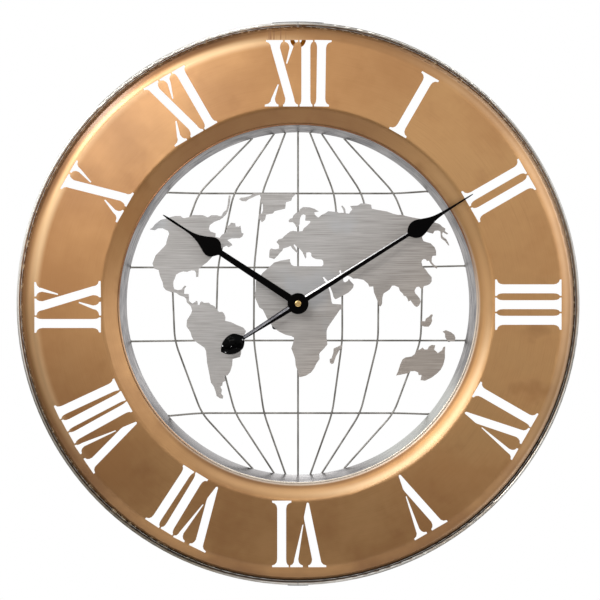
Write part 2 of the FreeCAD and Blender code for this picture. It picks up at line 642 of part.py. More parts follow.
def rivet_shank(x, low, high):
    """Upright pin through the hoop's top."""
    return Part.makeCylinder(rivet_radius, high - low, at_depth(x, rivet_depth, low), Vector(0, 0, 1))


def drilled(shape):
    """Shape with the hanger's rivet holes."""
    low = hanger_leg_inner() - cut_overrun
    for x in rivet_places():
        shape = shape.cut(rivet_shank(x, low, outer_radius + cut_overrun))
    return shape


def outer_hoop_half(start):
    """Half hoop that begins at an angle clockwise from 12 o'clock."""
    half_gap = math.degrees(seam_gap / 2 / outer_radius)
    return drilled(spun(hoop_profile(), start + half_gap, 180 - 2 * half_gap))


def joint_strap(angle, width):
    """Curved strap over a seam of the outer hoop."""
    half = math.degrees(width / 2 / outer_radius)
    profile = profile_face([
        (outer_radius, strap_margin), (outer_radius + strap_sheet, strap_margin),
        (outer_radius + strap_sheet, hoop_depth - strap_margin), (outer_radius, hoop_depth - strap_margin),
    ])
    return spun(profile, angle - half, 2 * half)


def moved_letter(points, place_share, lean, angle):
    """Outline of a letter part, set at its place on a numeral and turned to its hour."""
    tilt = math.radians(lean)
    spin = math.radians(angle)
    outline = []
    for x_share, z_share in points:
        x = numeral_height * (x_share * math.cos(tilt) - z_share * math.sin(tilt) + place_share)
        z = numeral_height * (z_share * math.cos(tilt) + x_share * math.sin(tilt)) + numeral_centre
        outline.append((x * math.cos(spin) + z * math.sin(spin), z * math.cos(spin) - x * math.sin(spin)))
    return outline


def serif(outer, edge, end):
    """Curve of a serif, from its outer end in to the stroke's edge."""
    return [(edge + (outer - edge) * out, end * (0.5 - down)) for out, down in serif_curve_share]


def stem_outline(reaches):
    """Outline of the letter I with its four serifs."""
    top_left, top_right, bottom_left, bottom_right = reaches
    return [
        (-top_left, -stem_half_share, 1), (-bottom_left, -stem_half_share, -1),
        (bottom_right, stem_half_share, -1), (top_right, stem_half_share, 1),
    ]


def letter_points(outline, right_reach):
    """Points of a stencil part; its serifs run inwards and outwards in turn."""
    points = []
    inwards = True
    for item in outline:
        if len(item) == 2:
            points.append(item)
            continue
        outer, edge, end = item
        curve = serif(outer or right_reach, edge, end)
        points += curve if inwards else curve[::-1]
        inwards = not inwards
    return points


def letter_parts(letter, reaches):
    """Stencil parts of a letter."""
    if letter == "I":
        return [letter_points(stem_outline(reaches), 0)]
    shapes = {"V": letter_v_shares, "X": letter_x_shares}
    return [letter_points(outline, reaches[0]) for outline in shapes[letter]]


def numeral_cutters():
    """Prisms that cut the twelve numerals."""
    cutters = []
    for hour, letters in enumerate(numeral_letter_share, 1):
        for letter, place, lean, *reaches in letters:
            for points in letter_parts(letter, reaches):
                outline = moved_letter(points, place, lean, hour * 360 / len(numeral_letter_share))
                cutters.append(prism(outline, ring_front - cut_overrun, ring_front + cut_overrun))
    return cutters


def dial_ring():
    """Pressed ring with bevelled edges and the numerals cut through."""
    path = [
        (ring_inner, ring_inner_depth), (ring_flat_inner, ring_front), (ring_flat_outer, ring_front),
        (bevel_outer, ring_front - bevel_drop), (rim_radius, ring_front - bevel_drop - rim_drop),
    ]
    ring = spun(sheet_face(path, ring_sheet, [inner_blend, bevel_blend, rim_blend]))
    notch = block(-rim_notch / 2, rim_notch / 2, bevel_outer, outer_radius, ring_inner_depth - cut_overrun,
                  ring_front - bevel_drop)
    return ring.cut(Part.makeCompound(numeral_cutters() + [notch]))


def inner_hoop():
    """Tapered band with a short upright lip at the front."""
    lip_base = lip_front - lip_height
    return spun(profile_face([
        (band_back_radius, band_back), (band_front_radius, lip_base), (band_front_radius, lip_front),
        (band_outer, lip_front), (band_outer, lip_base), (band_back_radius + band_wall, band_back),
    ]))


def hanger_bracket():
    """Tab with a hole flat on the wall, and a leg along the hoop."""
    hole_height = dial_drop
    tab = disc(hanger_half_width, 0, hanger_sheet, (0, hole_height))
    tab = tab.fuse(block(-hanger_half_width, hanger_half_width, hole_height, outer_radius, 0, hanger_sheet))
    tab = tab.common(disc(hoop_inner, 0, hanger_sheet))
    half = math.degrees(math.asin(hanger_half_width / hoop_inner))
    leg = spun(profile_face([
        (hoop_inner - hanger_sheet, 0), (hoop_inner, 0), (hoop_inner, hanger_leg),
        (hoop_inner - hanger_sheet, hanger_leg),
    ]), -half, 2 * half)
    bracket = fused([tab, leg]).cut(disc(hanger_hole_radius, 0, hanger_sheet, (0, hole_height)))
    return drilled(bracket)


def hanger_rivets():
    """Two rivets with a head outside the strap and one inside the leg."""
    outside = outer_radius + strap_sheet
    inside = hanger_leg_inner()
    rivets = []
    for x in rivet_places():
        shank = rivet_shank(x, inside - rivet_head, outside + rivet_head)
        head = Part.makeCylinder(rivet_head_radius, rivet_head, at_depth(x, rivet_depth, outside), Vector(0, 0, 1))
        foot = Part.makeCylinder(rivet_head_radius, rivet_head, at_depth(x, rivet_depth, inside), Vector(0, 0, -1))
        rivets.append(fused([shank, head, foot]))
    return Part.makeCompound(rivets)


# Wire grid and map


def wire_along(points, depth):
    """Wire through places on the dial, bent by an arc at each."""
    corners = [at_depth(x, depth, z) for x, z in points]
    path = Part.Wire(bent_edges(corners, [wire_bend] * (len(corners) - 2)))
    section = Part.Wire(Part.makeCircle(wire_radius, corners[0], corners[1] - corners[0]))
    return path.makePipeShell([section], True, False)


def hoop_height(x):
    """Height above the axis at which a place x meets the wire ends' circle."""
    return math.sqrt(wire_end_radius ** 2 - x ** 2)


def parallel_height(heights, x):
    """Height of a parallel wire at a place x, along its three runs."""
    bend = parallel_bend_share * map_reach
    end = heights[2] if x > 0 else heights[0]
    past = max(0.0, (abs(x) - bend) / (hoop_height(heights[1] * map_reach) - bend))
    return map_reach * (heights[1] + (end - heights[1]) * past)


def parallel_points(heights):
    """Places that one parallel wire runs through."""
    bend = parallel_bend_share * map_reach
    left, middle, right = [height * map_reach for height in heights]
    bends = [(-bend, middle)] * (left != middle) + [(bend, middle)] * (right != middle)
    return [(-hoop_height(left), left), *bends, (hoop_height(right), right)]


def meridian_points(shares):
    """Places that one meridian wire runs through, from the top down."""
    top, bottom = shares[0] * map_reach, shares[-1] * map_reach
    points = [(top, hoop_height(top))]
    for share, heights in zip(shares[1:-1], parallel_share):
        x = share * map_reach
        points.append((x, parallel_height(heights, x)))
    return points + [(bottom, -hoop_height(bottom))]


def middle_meridian():
    """Middle meridian, in two lengths that stop short of the movement."""
    stop = case_half + middle_stop_gap
    upper = wire_along([(0, wire_end_radius), (0, stop)], meridian_depth)
    lower = wire_along([(0, -stop), (0, -wire_end_radius)], meridian_depth)
    return Part.makeCompound([upper, lower])


def weld_beads():
    """Beads between the parallel wires and the band, and under the plate on the third parallel."""
    places = []
    for heights in parallel_share:
        places.append(parallel_points(heights)[0])
        places.append(parallel_points(heights)[-1])
    x = sum(share for share, _ in new_guinea_share) / len(new_guinea_share) * map_reach
    places.append((x, parallel_height(parallel_share[2], x)))
    beads = [disc(bead_radius, parallel_depth + wire_radius, band_back, place) for place in places]
    return Part.makeCompound(beads)


def map_plate(shares):
    """Flat sheet cut to a coastline."""
    return prism([(map_reach * x, map_reach * z) for x, z in shares], band_back, map_front)


def eurasia_africa():
    """Largest plate, with the hole for the movement's bush."""
    return map_plate(eurasia_africa_share).cut(disc(bush_radius + thread_gap, band_back, map_front))


# Toothed wheels


def mating_phase(phase, teeth_a, teeth_b, angle):
    """Phase of the teeth of wheel b that fit those of wheel a, which lies the other way."""
    offset = (angle - phase) * teeth_a / 360
    return angle + 180 - 360 / teeth_b * (0.5 - offset)


def toothed(teeth, module, layer, place, phase, overlap=0.0):
    """Toothed disc in a layer, with one tooth at the phase angle."""
    pitch = 360 / teeth
    root = module * (teeth / 2 - dedendum_share)
    tip = module * (teeth / 2 + addendum_share)
    points = []
    for tooth in range(teeth):
        middle = phase + tooth * pitch
        for radius, share in (
            (root, -tooth_root_share), (tip, -tooth_tip_share), (tip, tooth_tip_share), (root, tooth_root_share),
        ):
            x, z = clockwise(radius, middle + share * pitch)
            points.append((place[0] + x, place[1] + z))
    return prism(points, layer[0] - overlap, layer[1] + overlap)


def arbor(place, radius=arbor_radius, back=arbor_back, front=plate_front):
    """Thin axle through the train."""
    return disc(radius, back, front, place)


third_phase = mating_phase(0, centre_teeth, third_pinion_teeth, third_angle)
second_phase = mating_phase(0, third_teeth, second_pinion_teeth, second_angle)
intermediate_phase = mating_phase(0, second_teeth, intermediate_pinion_teeth, intermediate_angle)
rotor_phase = mating_phase(0, intermediate_teeth, rotor_pinion_teeth, rotor_angle)
motion_phase = mating_phase(0, cannon_teeth, motion_teeth, motion_angle)
hour_phase = mating_phase(0, motion_pinion_teeth, hour_teeth, motion_angle + 180)
knob_phase = mating_phase(motion_phase, motion_teeth, knob_teeth, knob_angle)


def centre_wheel():
    """Wheel that the minute shaft slips in when the hands are set."""
    wheel = toothed(centre_teeth, train_module, centre_layer, dial_centre, 0)
    return wheel.cut(disc(shaft_radius + running_gap, centre_layer[0], centre_layer[1]))


def geared_arbor(teeth, layer, pinion_teeth, pinion_layer, pinion_phase, place):
    """Moulded wheel, pinion and axle in one piece."""
    return fused([
        toothed(teeth, train_module, layer, place, 0),
        toothed(pinion_teeth, train_module, pinion_layer, place, pinion_phase, pinion_overlap),
        arbor(place),
    ])


def third_wheel():
    return geared_arbor(third_teeth, third_layer, third_pinion_teeth, centre_layer, third_phase, third_place)


def second_wheel():
    return geared_arbor(second_teeth, second_layer, second_pinion_teeth, third_layer, second_phase, second_place)


def intermediate_wheel():
    return geared_arbor(intermediate_teeth, intermediate_layer, intermediate_pinion_teeth, second_layer,
                        intermediate_phase, intermediate_place)


def rotor_pinion():
    """Rotor axle with its pinion."""
    pinion = toothed(rotor_pinion_teeth, train_module, intermediate_layer, rotor_place, rotor_phase,
                     pinion_overlap)
    return fused([pinion, arbor(rotor_place)])


def rotor_magnet():
    """Magnet ring on the rotor axle."""
    middle = (stator_back + stator_front) / 2
    return sleeve(magnet_radius, arbor_radius, middle - magnet_height / 2, middle + magnet_height / 2, rotor_place)


def motion_wheel():
    """Wheel and pinion between the cannon pinion and the hour wheel."""
    return fused([
        toothed(motion_teeth, cannon_module, motion_layer, motion_place, motion_phase),
        toothed(motion_pinion_teeth, motion_pinion_module, hour_layer, motion_place, 0, pinion_overlap),
        arbor(motion_place, back=plate_back, front=inner_front + socket_depth),
    ])


def hour_wheel():
    """Wheel whose long pipe carries the hour hand."""
    wheel = toothed(hour_teeth, motion_pinion_module, hour_layer, dial_centre, hour_phase)
    pipe = disc(pipe_radius, hour_layer[0], hour_hand_depth + hand_sheet)
    bore = disc(pipe_inner, hour_layer[0], hour_hand_depth + hand_sheet)
    return wheel.fuse(pipe).cut(bore)


def minute_shaft():
    """Shaft with its cannon pinion, rear pivot and flange."""
    flange_front = centre_layer[0] - pinion_overlap
    return fused([
        arbor(dial_centre, front=flange_front),
        disc(shaft_flange_radius, flange_front - shaft_flange, flange_front),
        disc(shaft_radius, flange_front - shaft_flange, shaft_front),
        toothed(cannon_teeth, cannon_module, motion_layer, dial_centre, 0, pinion_overlap),
    ])


def clutch_washer():
    """Spring washer that presses the centre wheel against the shaft's flange."""
    back = centre_layer[1] + clutch_gap
    return sleeve(clutch_radius, shaft_radius, back, back + clutch_sheet)


def setting_knob():
    """Notched knob behind the cover, with its axle and pinion."""
    front = case_back - knob_gap
    knob = disc(knob_radius, front - knob_height, front, knob_place)
    for notch in range(knob_notches):
        x, z = clockwise(knob_radius, notch * 360 / knob_notches)
        place = (knob_place[0] + x, knob_place[1] + z)
        knob = knob.cut(disc(knob_notch_radius, front - knob_height, front, place))
    return fused([
        knob, disc(knob_arbor_radius, front, inner_front + socket_depth, knob_place),
        toothed(knob_teeth, cannon_module, motion_layer, knob_place, knob_phase, pinion_overlap),
    ])


# Movement case and what it holds


def post_places():
    """Corners of the train's room where the posts stand."""
    reach = inner_half - post_inset
    low = train_floor + post_inset
    return [(-reach, reach), (reach, reach), (-reach, low), (reach, low)]


def movement_case():
    """Tub open at the back, with a bay for the cell and posts for the plates."""
    shell = block(-case_half, case_half, -case_half, case_half, case_back, case_front)
    upright = [edge for edge in shell.Edges if abs(edge.tangentAt(0).y) > 0.5]
    shell = shell.makeFillet(case_corner, upright)
    shell = shell.cut(block(-inner_half, inner_half, train_floor, inner_half, case_back, inner_front))
    shell = shell.cut(block(-inner_half, inner_half, -inner_half, bay_top, case_back, inner_front))
    for place in post_places():
        shell = shell.fuse(disc(post_radius, cover_front, inner_front, place))
        shell = shell.fuse(disc(post_radius + post_shoulder, plate_front, inner_front, place))
    shell = shell.cut(disc(bush_flange_radius, case_front - bush_flange, case_front))
    shell = shell.cut(disc(bush_radius - thread_gap, inner_front, case_front))
    shell = shell.cut(disc(pivot_hole, inner_front, inner_front + socket_depth, motion_place))
    shell = shell.cut(disc(knob_pivot, inner_front, inner_front + socket_depth, knob_place))
    return shell.removeSplitter()


def train_places():
    """Arbors that run between the cover and the middle plate."""
    return [third_place, second_place, intermediate_place, rotor_place]


def fitted_panel(back, front):
    """Flat panel that fits the train's room with a small gap."""
    side = inner_half - cover_gap
    return block(-side, side, train_floor + cover_gap, side, back, front)


def middle_plate_part():
    """Plate between the train and the motion work, on the posts' shoulders."""
    plate = fitted_panel(plate_back, plate_front)
    for place in train_places() + [motion_place]:
        plate = plate.cut(disc(pivot_hole, plate_back, plate_front, place))
    plate = plate.cut(disc(shaft_radius + running_gap, plate_back, plate_front))
    plate = plate.cut(disc(knob_pivot, plate_back, plate_front, knob_place))
    for place in post_places():
        plate = plate.cut(disc(post_radius + cover_gap, plate_back, plate_front, place))
    return plate


def movement_cover():
    """Back cover of the train, with a socket for each rear pivot."""
    cover = fitted_panel(case_back, cover_front)
    for place in train_places() + [dial_centre]:
        cover = cover.cut(disc(pivot_hole, arbor_back, cover_front, place))
    return cover.cut(disc(knob_pivot, case_back, cover_front, knob_place))


def threaded_bush():
    """Bush that the hour pipe turns in, with a flange sunk in the case."""
    return fused([
        disc(bush_flange_radius, case_front - bush_flange, case_front),
        disc(bush_radius, case_front - bush_flange, bush_front),
    ]).cut(disc(bush_bore, case_front - bush_flange, bush_front))


def bush_nut():
    """Hexagon nut on the bush."""
    back = map_front + washer_sheet
    corner = nut_flats / math.sqrt(3)
    points = [clockwise(corner, 30 + side * 60) for side in range(6)]
    return prism(points, back, back + nut_height).cut(disc(bush_radius + thread_gap, back, back + nut_height))


def coil_place():
    """Left end and height of the coil, beside the rotor and under the case wall."""
    height = inner_half - coil_margin - coil_flange_radius
    return rotor_place[0] - coil_length / 2, height


def coil_disc(radius, start, length):
    """Cylinder along the coil's axis."""
    left, height = coil_place()
    depth = stator_front + core_height / 2
    return Part.makeCylinder(radius, length, at_depth(left + start, depth, height), Vector(1, 0, 0))


def coil_core():
    """Iron bar through the coil, lying on the stator's arms."""
    left, height = coil_place()
    reach = stator_arm + coil_margin
    return block(left - reach, left + coil_length + reach, height - core_width / 2, height + core_width / 2,
                 stator_front, stator_front + core_height)


def coil_bobbin():
    """Bobbin with a flange at each end."""
    hub = coil_radius / 2 + core_width / 4
    bobbin = fused([
        coil_disc(hub, 0, coil_length), coil_disc(coil_flange_radius, 0, coil_flange),
        coil_disc(coil_flange_radius, coil_length - coil_flange, coil_flange),
    ])
    return bobbin.cut(coil_core())


def coil_winding():
    """Fine wire wound on the bobbin."""
    hub = coil_radius / 2 + core_width / 4
    length = coil_length - 2 * coil_flange
    return coil_disc(coil_radius, coil_flange, length).cut(coil_disc(hub, coil_flange, length))


def stator():
    """Soft iron plate around the rotor, with an arm to each end of the core."""
    left, height = coil_place()
    right = left + coil_length
    top = height + core_width / 2
    x, z = rotor_place
    reach = magnet_radius + stator_gap + stator_margin
    arm_left = left - coil_margin - stator_arm
    arm_right = right + coil_margin + stator_arm
    points = [
        (x - stator_foot_share * reach, z - reach), (x + stator_foot_share * reach, z - reach),
        (arm_right, z), (arm_right, top), (arm_right - stator_arm, top), (arm_right - stator_arm, z + reach),
        (arm_left + stator_arm, z + reach), (arm_left + stator_arm, top), (arm_left, top), (arm_left, z),
    ]
    plate = prism(points, stator_back, stator_front)
    plate = plate.cut(disc(magnet_radius + stator_gap, stator_back, stator_front, rotor_place))
    return plate.cut(disc(arbor_radius + stator_gap, stator_back, stator_front, intermediate_place))


def board_sides():
    """Left, right, bottom and top of the circuit board."""
    left = cover_gap - inner_half
    bottom = train_floor + cover_gap
    return left, left + board_width, bottom, bottom + board_height


def circuit_board():
    """Board beside the train, notched round the lower post."""
    left, right, bottom, top = board_sides()
    back = cover_front + board_gap
    board = block(left, right, bottom, top, back, back + board_sheet)
    for place in post_places():
        board = board.cut(disc(post_radius + cover_gap, back, back + board_sheet, place))
    return board


def board_part_place(share):
    """Place on the board's middle line, as a share of its height."""
    left, right, bottom, top = board_sides()
    return (left + right) / 2, bottom + share * (top - bottom)


def driver_chip():
    """Round blob over the chip on the board."""
    back = cover_front + board_gap + board_sheet
    sphere_radius = (chip_radius ** 2 + chip_height ** 2) / (2 * chip_height)
    x, z = board_part_place(chip_share)
    ball = Part.makeSphere(sphere_radius, at_depth(x, back + chip_height - sphere_radius, z))
    return ball.common(disc(chip_radius, back, back + chip_height, (x, z)))


def crystal_can():
    """Small can of the quartz crystal, lying on the board."""
    x, z = board_part_place(crystal_share)
    depth = cover_front + board_gap + board_sheet + crystal_radius
    return Part.makeCylinder(crystal_radius, crystal_length, at_depth(x, depth, z), Vector(0, 0, 1))


def battery_cell():
    """Round cell with its nub to the right."""
    half = (cell_length + cell_nub) / 2
    can = Part.makeCylinder(cell_radius, cell_length, at_depth(-half, cell_depth, cell_height), Vector(1, 0, 0))
    nub_start = at_depth(cell_length - half, cell_depth, cell_height)
    return can.fuse(Part.makeCylinder(cell_nub_radius, cell_nub, nub_start, Vector(1, 0, 0)))


def cell_contact(side):
    """Bent leaf between the bay's end wall and the cell, for side 1 or -1."""
    wall = inner_half
    inner = wall - contact_sheet
    touch = (cell_length + cell_nub) / 2 + contact_gap
    half = contact_width / 2
    bump = half * contact_bump_share
    points = [
        (wall, cell_height - half), (wall, cell_height + half), (inner, cell_height + half),
        (inner, cell_height + bump), (touch, cell_height), (inner, cell_height - bump),
        (inner, cell_height - half),
    ]
    return prism([(side * x, z) for x, z in points], cell_depth - half, cell_depth + half)


# Hands


def hand_place(along, across, angle):
    """Place on the dial from a distance along a hand and one to its clockwise side."""
    x, z = clockwise(along, angle)
    side_x, side_z = clockwise(across, angle + 90)
    return x + side_x, z + side_z


def hand_outline_face(length, root_half, blade, angle, depth):
    """Face of a hand: straight shaft, curved blade and pointed tip."""
    first_along, first_half = blade[0]
    edges = []
    ends = []
    for side in (1, -1):
        places = [hand_place(length * s, side * length * w, angle) for s, w in blade]
        curve = Part.BSplineCurve()
        curve.interpolate([at_depth(x, depth, z) for x, z in places])
        root = at_depth(*insert_depth(hand_place(0, side * root_half, angle), depth))
        start = at_depth(*insert_depth(places[0], depth))
        end = at_depth(*insert_depth(places[-1], depth))
        edges += [Part.makeLine(root, start), curve.toShape()]
        ends.append((root, end))
    edges.append(Part.makeLine(ends[0][0], ends[1][0]))
    edges.append(Part.makeLine(ends[0][1], ends[1][1]))
    return Part.Face(Part.Wire(Part.__sortEdges__(edges)))


def insert_depth(place, depth):
    """Place and depth in the order that at_depth takes."""
    return place[0], depth, place[1]


def hour_hand():
    """Flat hand with a spade, on the hour pipe."""
    blade = hand_outline_face(hour_length, hour_root_half, hour_blade_share, hour_angle, hour_hand_depth)
    blade = blade.extrude(Vector(0, -hand_sheet, 0))
    hub = disc(hour_hub_radius, hour_hand_depth, hour_hand_depth + hand_sheet)
    hand = fused([hub, blade])
    return hand.cut(disc(pipe_radius, hour_hand_depth, hour_hand_depth + hand_sheet))


def hour_collet_part():
    """Collar under the hour hand that grips the pipe."""
    return sleeve(pipe_radius + hour_collet_wall, pipe_radius, hour_hand_depth - hour_collet, hour_hand_depth)


def minute_tail():
    """Tapered tail on the far side of the hub."""
    back = minute_angle + 180
    points = [
        hand_place(0, tail_root_half, back), hand_place(tail_length, tail_tip_half, back),
        hand_place(tail_length, -tail_tip_half, back), hand_place(0, -tail_root_half, back),
    ]
    return prism(points, minute_hand_depth, hands_front)


def minute_hand():
    """Flat hand with a bulb, needle tip and tail, clamped by the nut."""
    blade = hand_outline_face(minute_length, minute_root_half, minute_blade_share, minute_angle,
                              minute_hand_depth)
    blade = blade.extrude(Vector(0, -hand_sheet, 0))
    hub = disc(minute_hub_radius, minute_hand_depth, hands_front)
    return fused([hub, blade, minute_tail()]).cut(disc(shaft_radius, minute_hand_depth, hands_front))


def minute_collet_part():
    """Collar under the minute hand."""
    return sleeve(shaft_radius + minute_collet_wall, shaft_radius, minute_hand_depth - minute_collet,
                  minute_hand_depth)


def counterweight():
    """Domed drop on the tail, flat at the back."""
    back = minute_angle + 180
    way_x, way_z = clockwise(1, back)
    middle = minute_hand_depth + hand_sheet / 2
    places = [(weight_start + weight_length * s, weight_half_width * w) for s, w in weight_share]
    curve = Part.BSplineCurve()
    curve.interpolate([at_depth(*insert_depth(hand_place(s, w, back), 0)) for s, w in places])
    axis_start = at_depth(*insert_depth(hand_place(places[0][0], 0, back), 0))
    axis_end = at_depth(*insert_depth(hand_place(places[-1][0], 0, back), 0))
    first = at_depth(*insert_depth(hand_place(places[0][0], places[0][1], back), 0))
    last = at_depth(*insert_depth(hand_place(places[-1][0], places[-1][1], back), 0))
    edges = [
        Part.makeLine(axis_start, first), curve.toShape(), Part.makeLine(last, axis_end),
        Part.makeLine(axis_end, axis_start),
    ]
    drop = Part.Face(Part.Wire(edges)).revolve(Vector(0, 0, 0), Vector(way_x, 0, way_z), 360)
    flatten = FreeCAD.Matrix()
    flatten.scale(1, weight_flat_share, 1)
    drop = drop.transformGeometry(flatten)
    drop.translate(at_depth(0, middle, 0))
    reach = weight_start + weight_length
    keep = disc(reach + weight_half_width, minute_hand_depth - weight_back_gap, middle + weight_half_width)
    return drop.common(keep).cut(minute_tail())


def hand_nut():
    """Round nut with a domed top that holds the minute hand."""
    top = hands_front + hand_nut_height
    nut = disc(nut_radius, hands_front, top)
    rim = [edge for edge in nut.Edges if edge.Closed and abs(edge.BoundBox.YMin + top) < nut_dome / 2]
    nut = nut.makeFillet(nut_dome, rim[:1])
    return nut.cut(disc(shaft_radius, hands_front, shaft_front))


def clock_parts():
    """Every sub-part of the clock by its name."""
    parts = {
        "dial_ring": dial_ring(),
        "outer_hoop_right": outer_hoop_half(0),
        "outer_hoop_left": outer_hoop_half(180),
        "top_joint_strap": drilled(joint_strap(0, top_strap_width)),
        "bottom_joint_strap": joint_strap(180, bottom_strap_width),
        "inner_hoop": inner_hoop(),
        "hanger_bracket": hanger_bracket(),
        "hanger_rivets": hanger_rivets(),
        "meridian_wire_middle": middle_meridian(),
        "weld_beads": weld_beads(),
        "americas_plate": map_plate(americas_share),
        "greenland_plate": map_plate(greenland_share),
        "eurasia_africa_plate": eurasia_africa(),
        "madagascar_plate": map_plate(madagascar_share),
        "borneo_plate": map_plate(borneo_share),
        "new_guinea_plate": map_plate(new_guinea_share),
        "australia_plate": map_plate(australia_share),
        "movement_case": movement_case(),
        "movement_cover": movement_cover(),
        "middle_plate": middle_plate_part(),
        "threaded_bush": threaded_bush(),
        "rubber_washer": sleeve(rubber_radius, bush_radius, case_front, band_back),
        "bush_washer": sleeve(washer_radius, bush_radius + thread_gap, map_front, map_front + washer_sheet),
        "bush_nut": bush_nut(),
        "centre_wheel": centre_wheel(),
        "third_wheel": third_wheel(),
        "second_wheel": second_wheel(),
        "intermediate_wheel": intermediate_wheel(),
        "rotor_pinion": rotor_pinion(),
        "rotor_magnet": rotor_magnet(),
        "stator": stator(),
        "coil_core": coil_core(),
        "coil_bobbin": coil_bobbin(),
        "coil_winding": coil_winding(),
        "circuit_board": circuit_board(),
        "driver_chip": driver_chip(),
        "crystal_can": crystal_can(),
        "battery_cell": battery_cell(),
        "cell_contacts": Part.makeCompound([cell_contact(1), cell_contact(-1)]),
        "motion_wheel": motion_wheel(),
        "setting_knob": setting_knob(),
        "hour_wheel": hour_wheel(),
        "hour_collet": hour_collet_part(),
        "hour_hand": hour_hand(),
        "minute_shaft": minute_shaft(),
        "clutch_washer": clutch_washer(),
        "minute_collet": minute_collet_part(),
        "minute_hand": minute_hand(),
        "counterweight": counterweight(),
        "hand_nut": hand_nut(),
    }
    for number, heights in enumerate(parallel_share, 1):
        parts[f"parallel_wire_{number}"] = wire_along(parallel_points(heights), parallel_depth)
    for number, shares in enumerate(meridian_share, 1):
        parts[f"meridian_wire_{number}"] = wire_along(meridian_points(shares), meridian_depth)
    return parts


def main():
    os.makedirs("parts", exist_ok=True)
    for name, shape in clock_parts().items():
        shape.translate(Vector(0, 0, -dial_drop))
        shape.exportStep(f"parts/{name}.step")


main()
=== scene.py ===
import bpy
import bmesh
import json
import math
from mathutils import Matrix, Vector


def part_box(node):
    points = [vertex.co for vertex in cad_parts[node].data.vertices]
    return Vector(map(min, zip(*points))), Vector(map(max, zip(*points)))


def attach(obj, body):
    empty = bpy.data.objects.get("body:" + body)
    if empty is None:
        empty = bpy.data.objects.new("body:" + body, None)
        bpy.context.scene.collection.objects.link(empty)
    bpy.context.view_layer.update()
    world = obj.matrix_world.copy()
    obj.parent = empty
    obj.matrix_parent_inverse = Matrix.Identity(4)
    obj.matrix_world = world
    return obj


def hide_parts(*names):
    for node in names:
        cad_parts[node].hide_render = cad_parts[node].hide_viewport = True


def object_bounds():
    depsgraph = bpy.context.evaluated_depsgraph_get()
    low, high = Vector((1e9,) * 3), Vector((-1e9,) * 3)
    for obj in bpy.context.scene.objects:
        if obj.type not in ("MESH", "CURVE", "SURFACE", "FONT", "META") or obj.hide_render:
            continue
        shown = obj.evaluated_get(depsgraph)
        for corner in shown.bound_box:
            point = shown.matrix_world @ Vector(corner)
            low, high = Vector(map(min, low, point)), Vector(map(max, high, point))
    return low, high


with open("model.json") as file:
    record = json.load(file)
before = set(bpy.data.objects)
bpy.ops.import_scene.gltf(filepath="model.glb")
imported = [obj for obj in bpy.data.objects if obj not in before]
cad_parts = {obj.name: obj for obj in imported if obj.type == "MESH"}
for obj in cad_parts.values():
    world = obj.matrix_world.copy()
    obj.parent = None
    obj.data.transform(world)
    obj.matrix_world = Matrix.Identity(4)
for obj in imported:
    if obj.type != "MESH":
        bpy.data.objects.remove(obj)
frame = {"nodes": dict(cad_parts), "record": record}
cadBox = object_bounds()
wallPlane = 0.0  # the wall behind the clock, in Y
hubLow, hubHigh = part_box("hand_nut")
dialCentre = Vector(((hubLow.x + hubHigh.x) / 2, wallPlane, (hubLow.z + hubHigh.z) / 2))
ringLow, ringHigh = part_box("dial_ring")
ringFront = ringLow.y
rimRadius = (ringHigh.x - ringLow.x) / 2
bandLow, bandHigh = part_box("inner_hoop")
bandRadius = (bandHigh.x - bandLow.x) / 2
quarterTurn = math.radians(90)
print("frame loaded, rim radius", round(rimRadius, 4), "band radius", round(bandRadius, 4))


# Nodes, made by short calls

def addNode(tree, kind, sockets=None, **settings):
    node = tree.nodes.new(kind)
    for key, value in settings.items():
        setattr(node, key, value)
    for key, value in (sockets or {}).items():
        if isinstance(value, bpy.types.NodeSocket):
            tree.links.new(value, node.inputs[key])
        else:
            node.inputs[key].default_value = value
    return node


def maths(tree, operation, first, second=0.0, third=0.0, clamp=False):
    node = addNode(tree, "ShaderNodeMath", {0: first, 1: second, 2: third}, operation=operation)
    node.use_clamp = clamp
    return node.outputs[0]


def times(tree, first, *others):
    for value in others:
        first = maths(tree, "MULTIPLY", first, value)
    return first


def between(tree, value, low, high, outLow=0.0, outHigh=1.0):
    # A soft step from outLow, at low, to outHigh, at high
    node = addNode(tree, "ShaderNodeMapRange", {"Value": value, "From Min": low, "From Max": high,
                                                "To Min": outLow, "To Max": outHigh},
                   interpolation_type="SMOOTHSTEP")
    return node.outputs[0]


def mixed(tree, factor, first, second):
    # A Mix node's colours are its sockets 6 and 7, and its mixed colour is output 2
    return addNode(tree, "ShaderNodeMix", {0: factor, 6: first, 7: second}, data_type="RGBA").outputs[2]


def overlaid(tree, tone, colour, *shares):
    return mixed(tree, times(tree, *shares), tone, colour)


def paint(red, green, blue):
    def linear(share):
        return share / 12.92 if share <= 0.04045 else ((share + 0.055) / 1.055) ** 2.4
    return (linear(red / 255), linear(green / 255), linear(blue / 255), 1.0)


def cloud(tree, vector, scale, detail=3.0, rough=0.55):
    return addNode(tree, "ShaderNodeTexNoise", {"Vector": vector, "Scale": scale, "Detail": detail,
                                                "Roughness": rough}).outputs["Fac"]


def stretched(tree, vector, scale):
    return addNode(tree, "ShaderNodeMapping", {"Vector": vector, "Scale": scale}).outputs[0]


def startFinish(name, metallic, roughness):
    finish = bpy.data.materials.new(name)
    finish.use_nodes = True
    tree = finish.node_tree
    shader = tree.nodes["Principled BSDF"]
    shader.inputs["Metallic"].default_value = metallic
    shader.inputs["Roughness"].default_value = roughness
    return finish, tree, shader


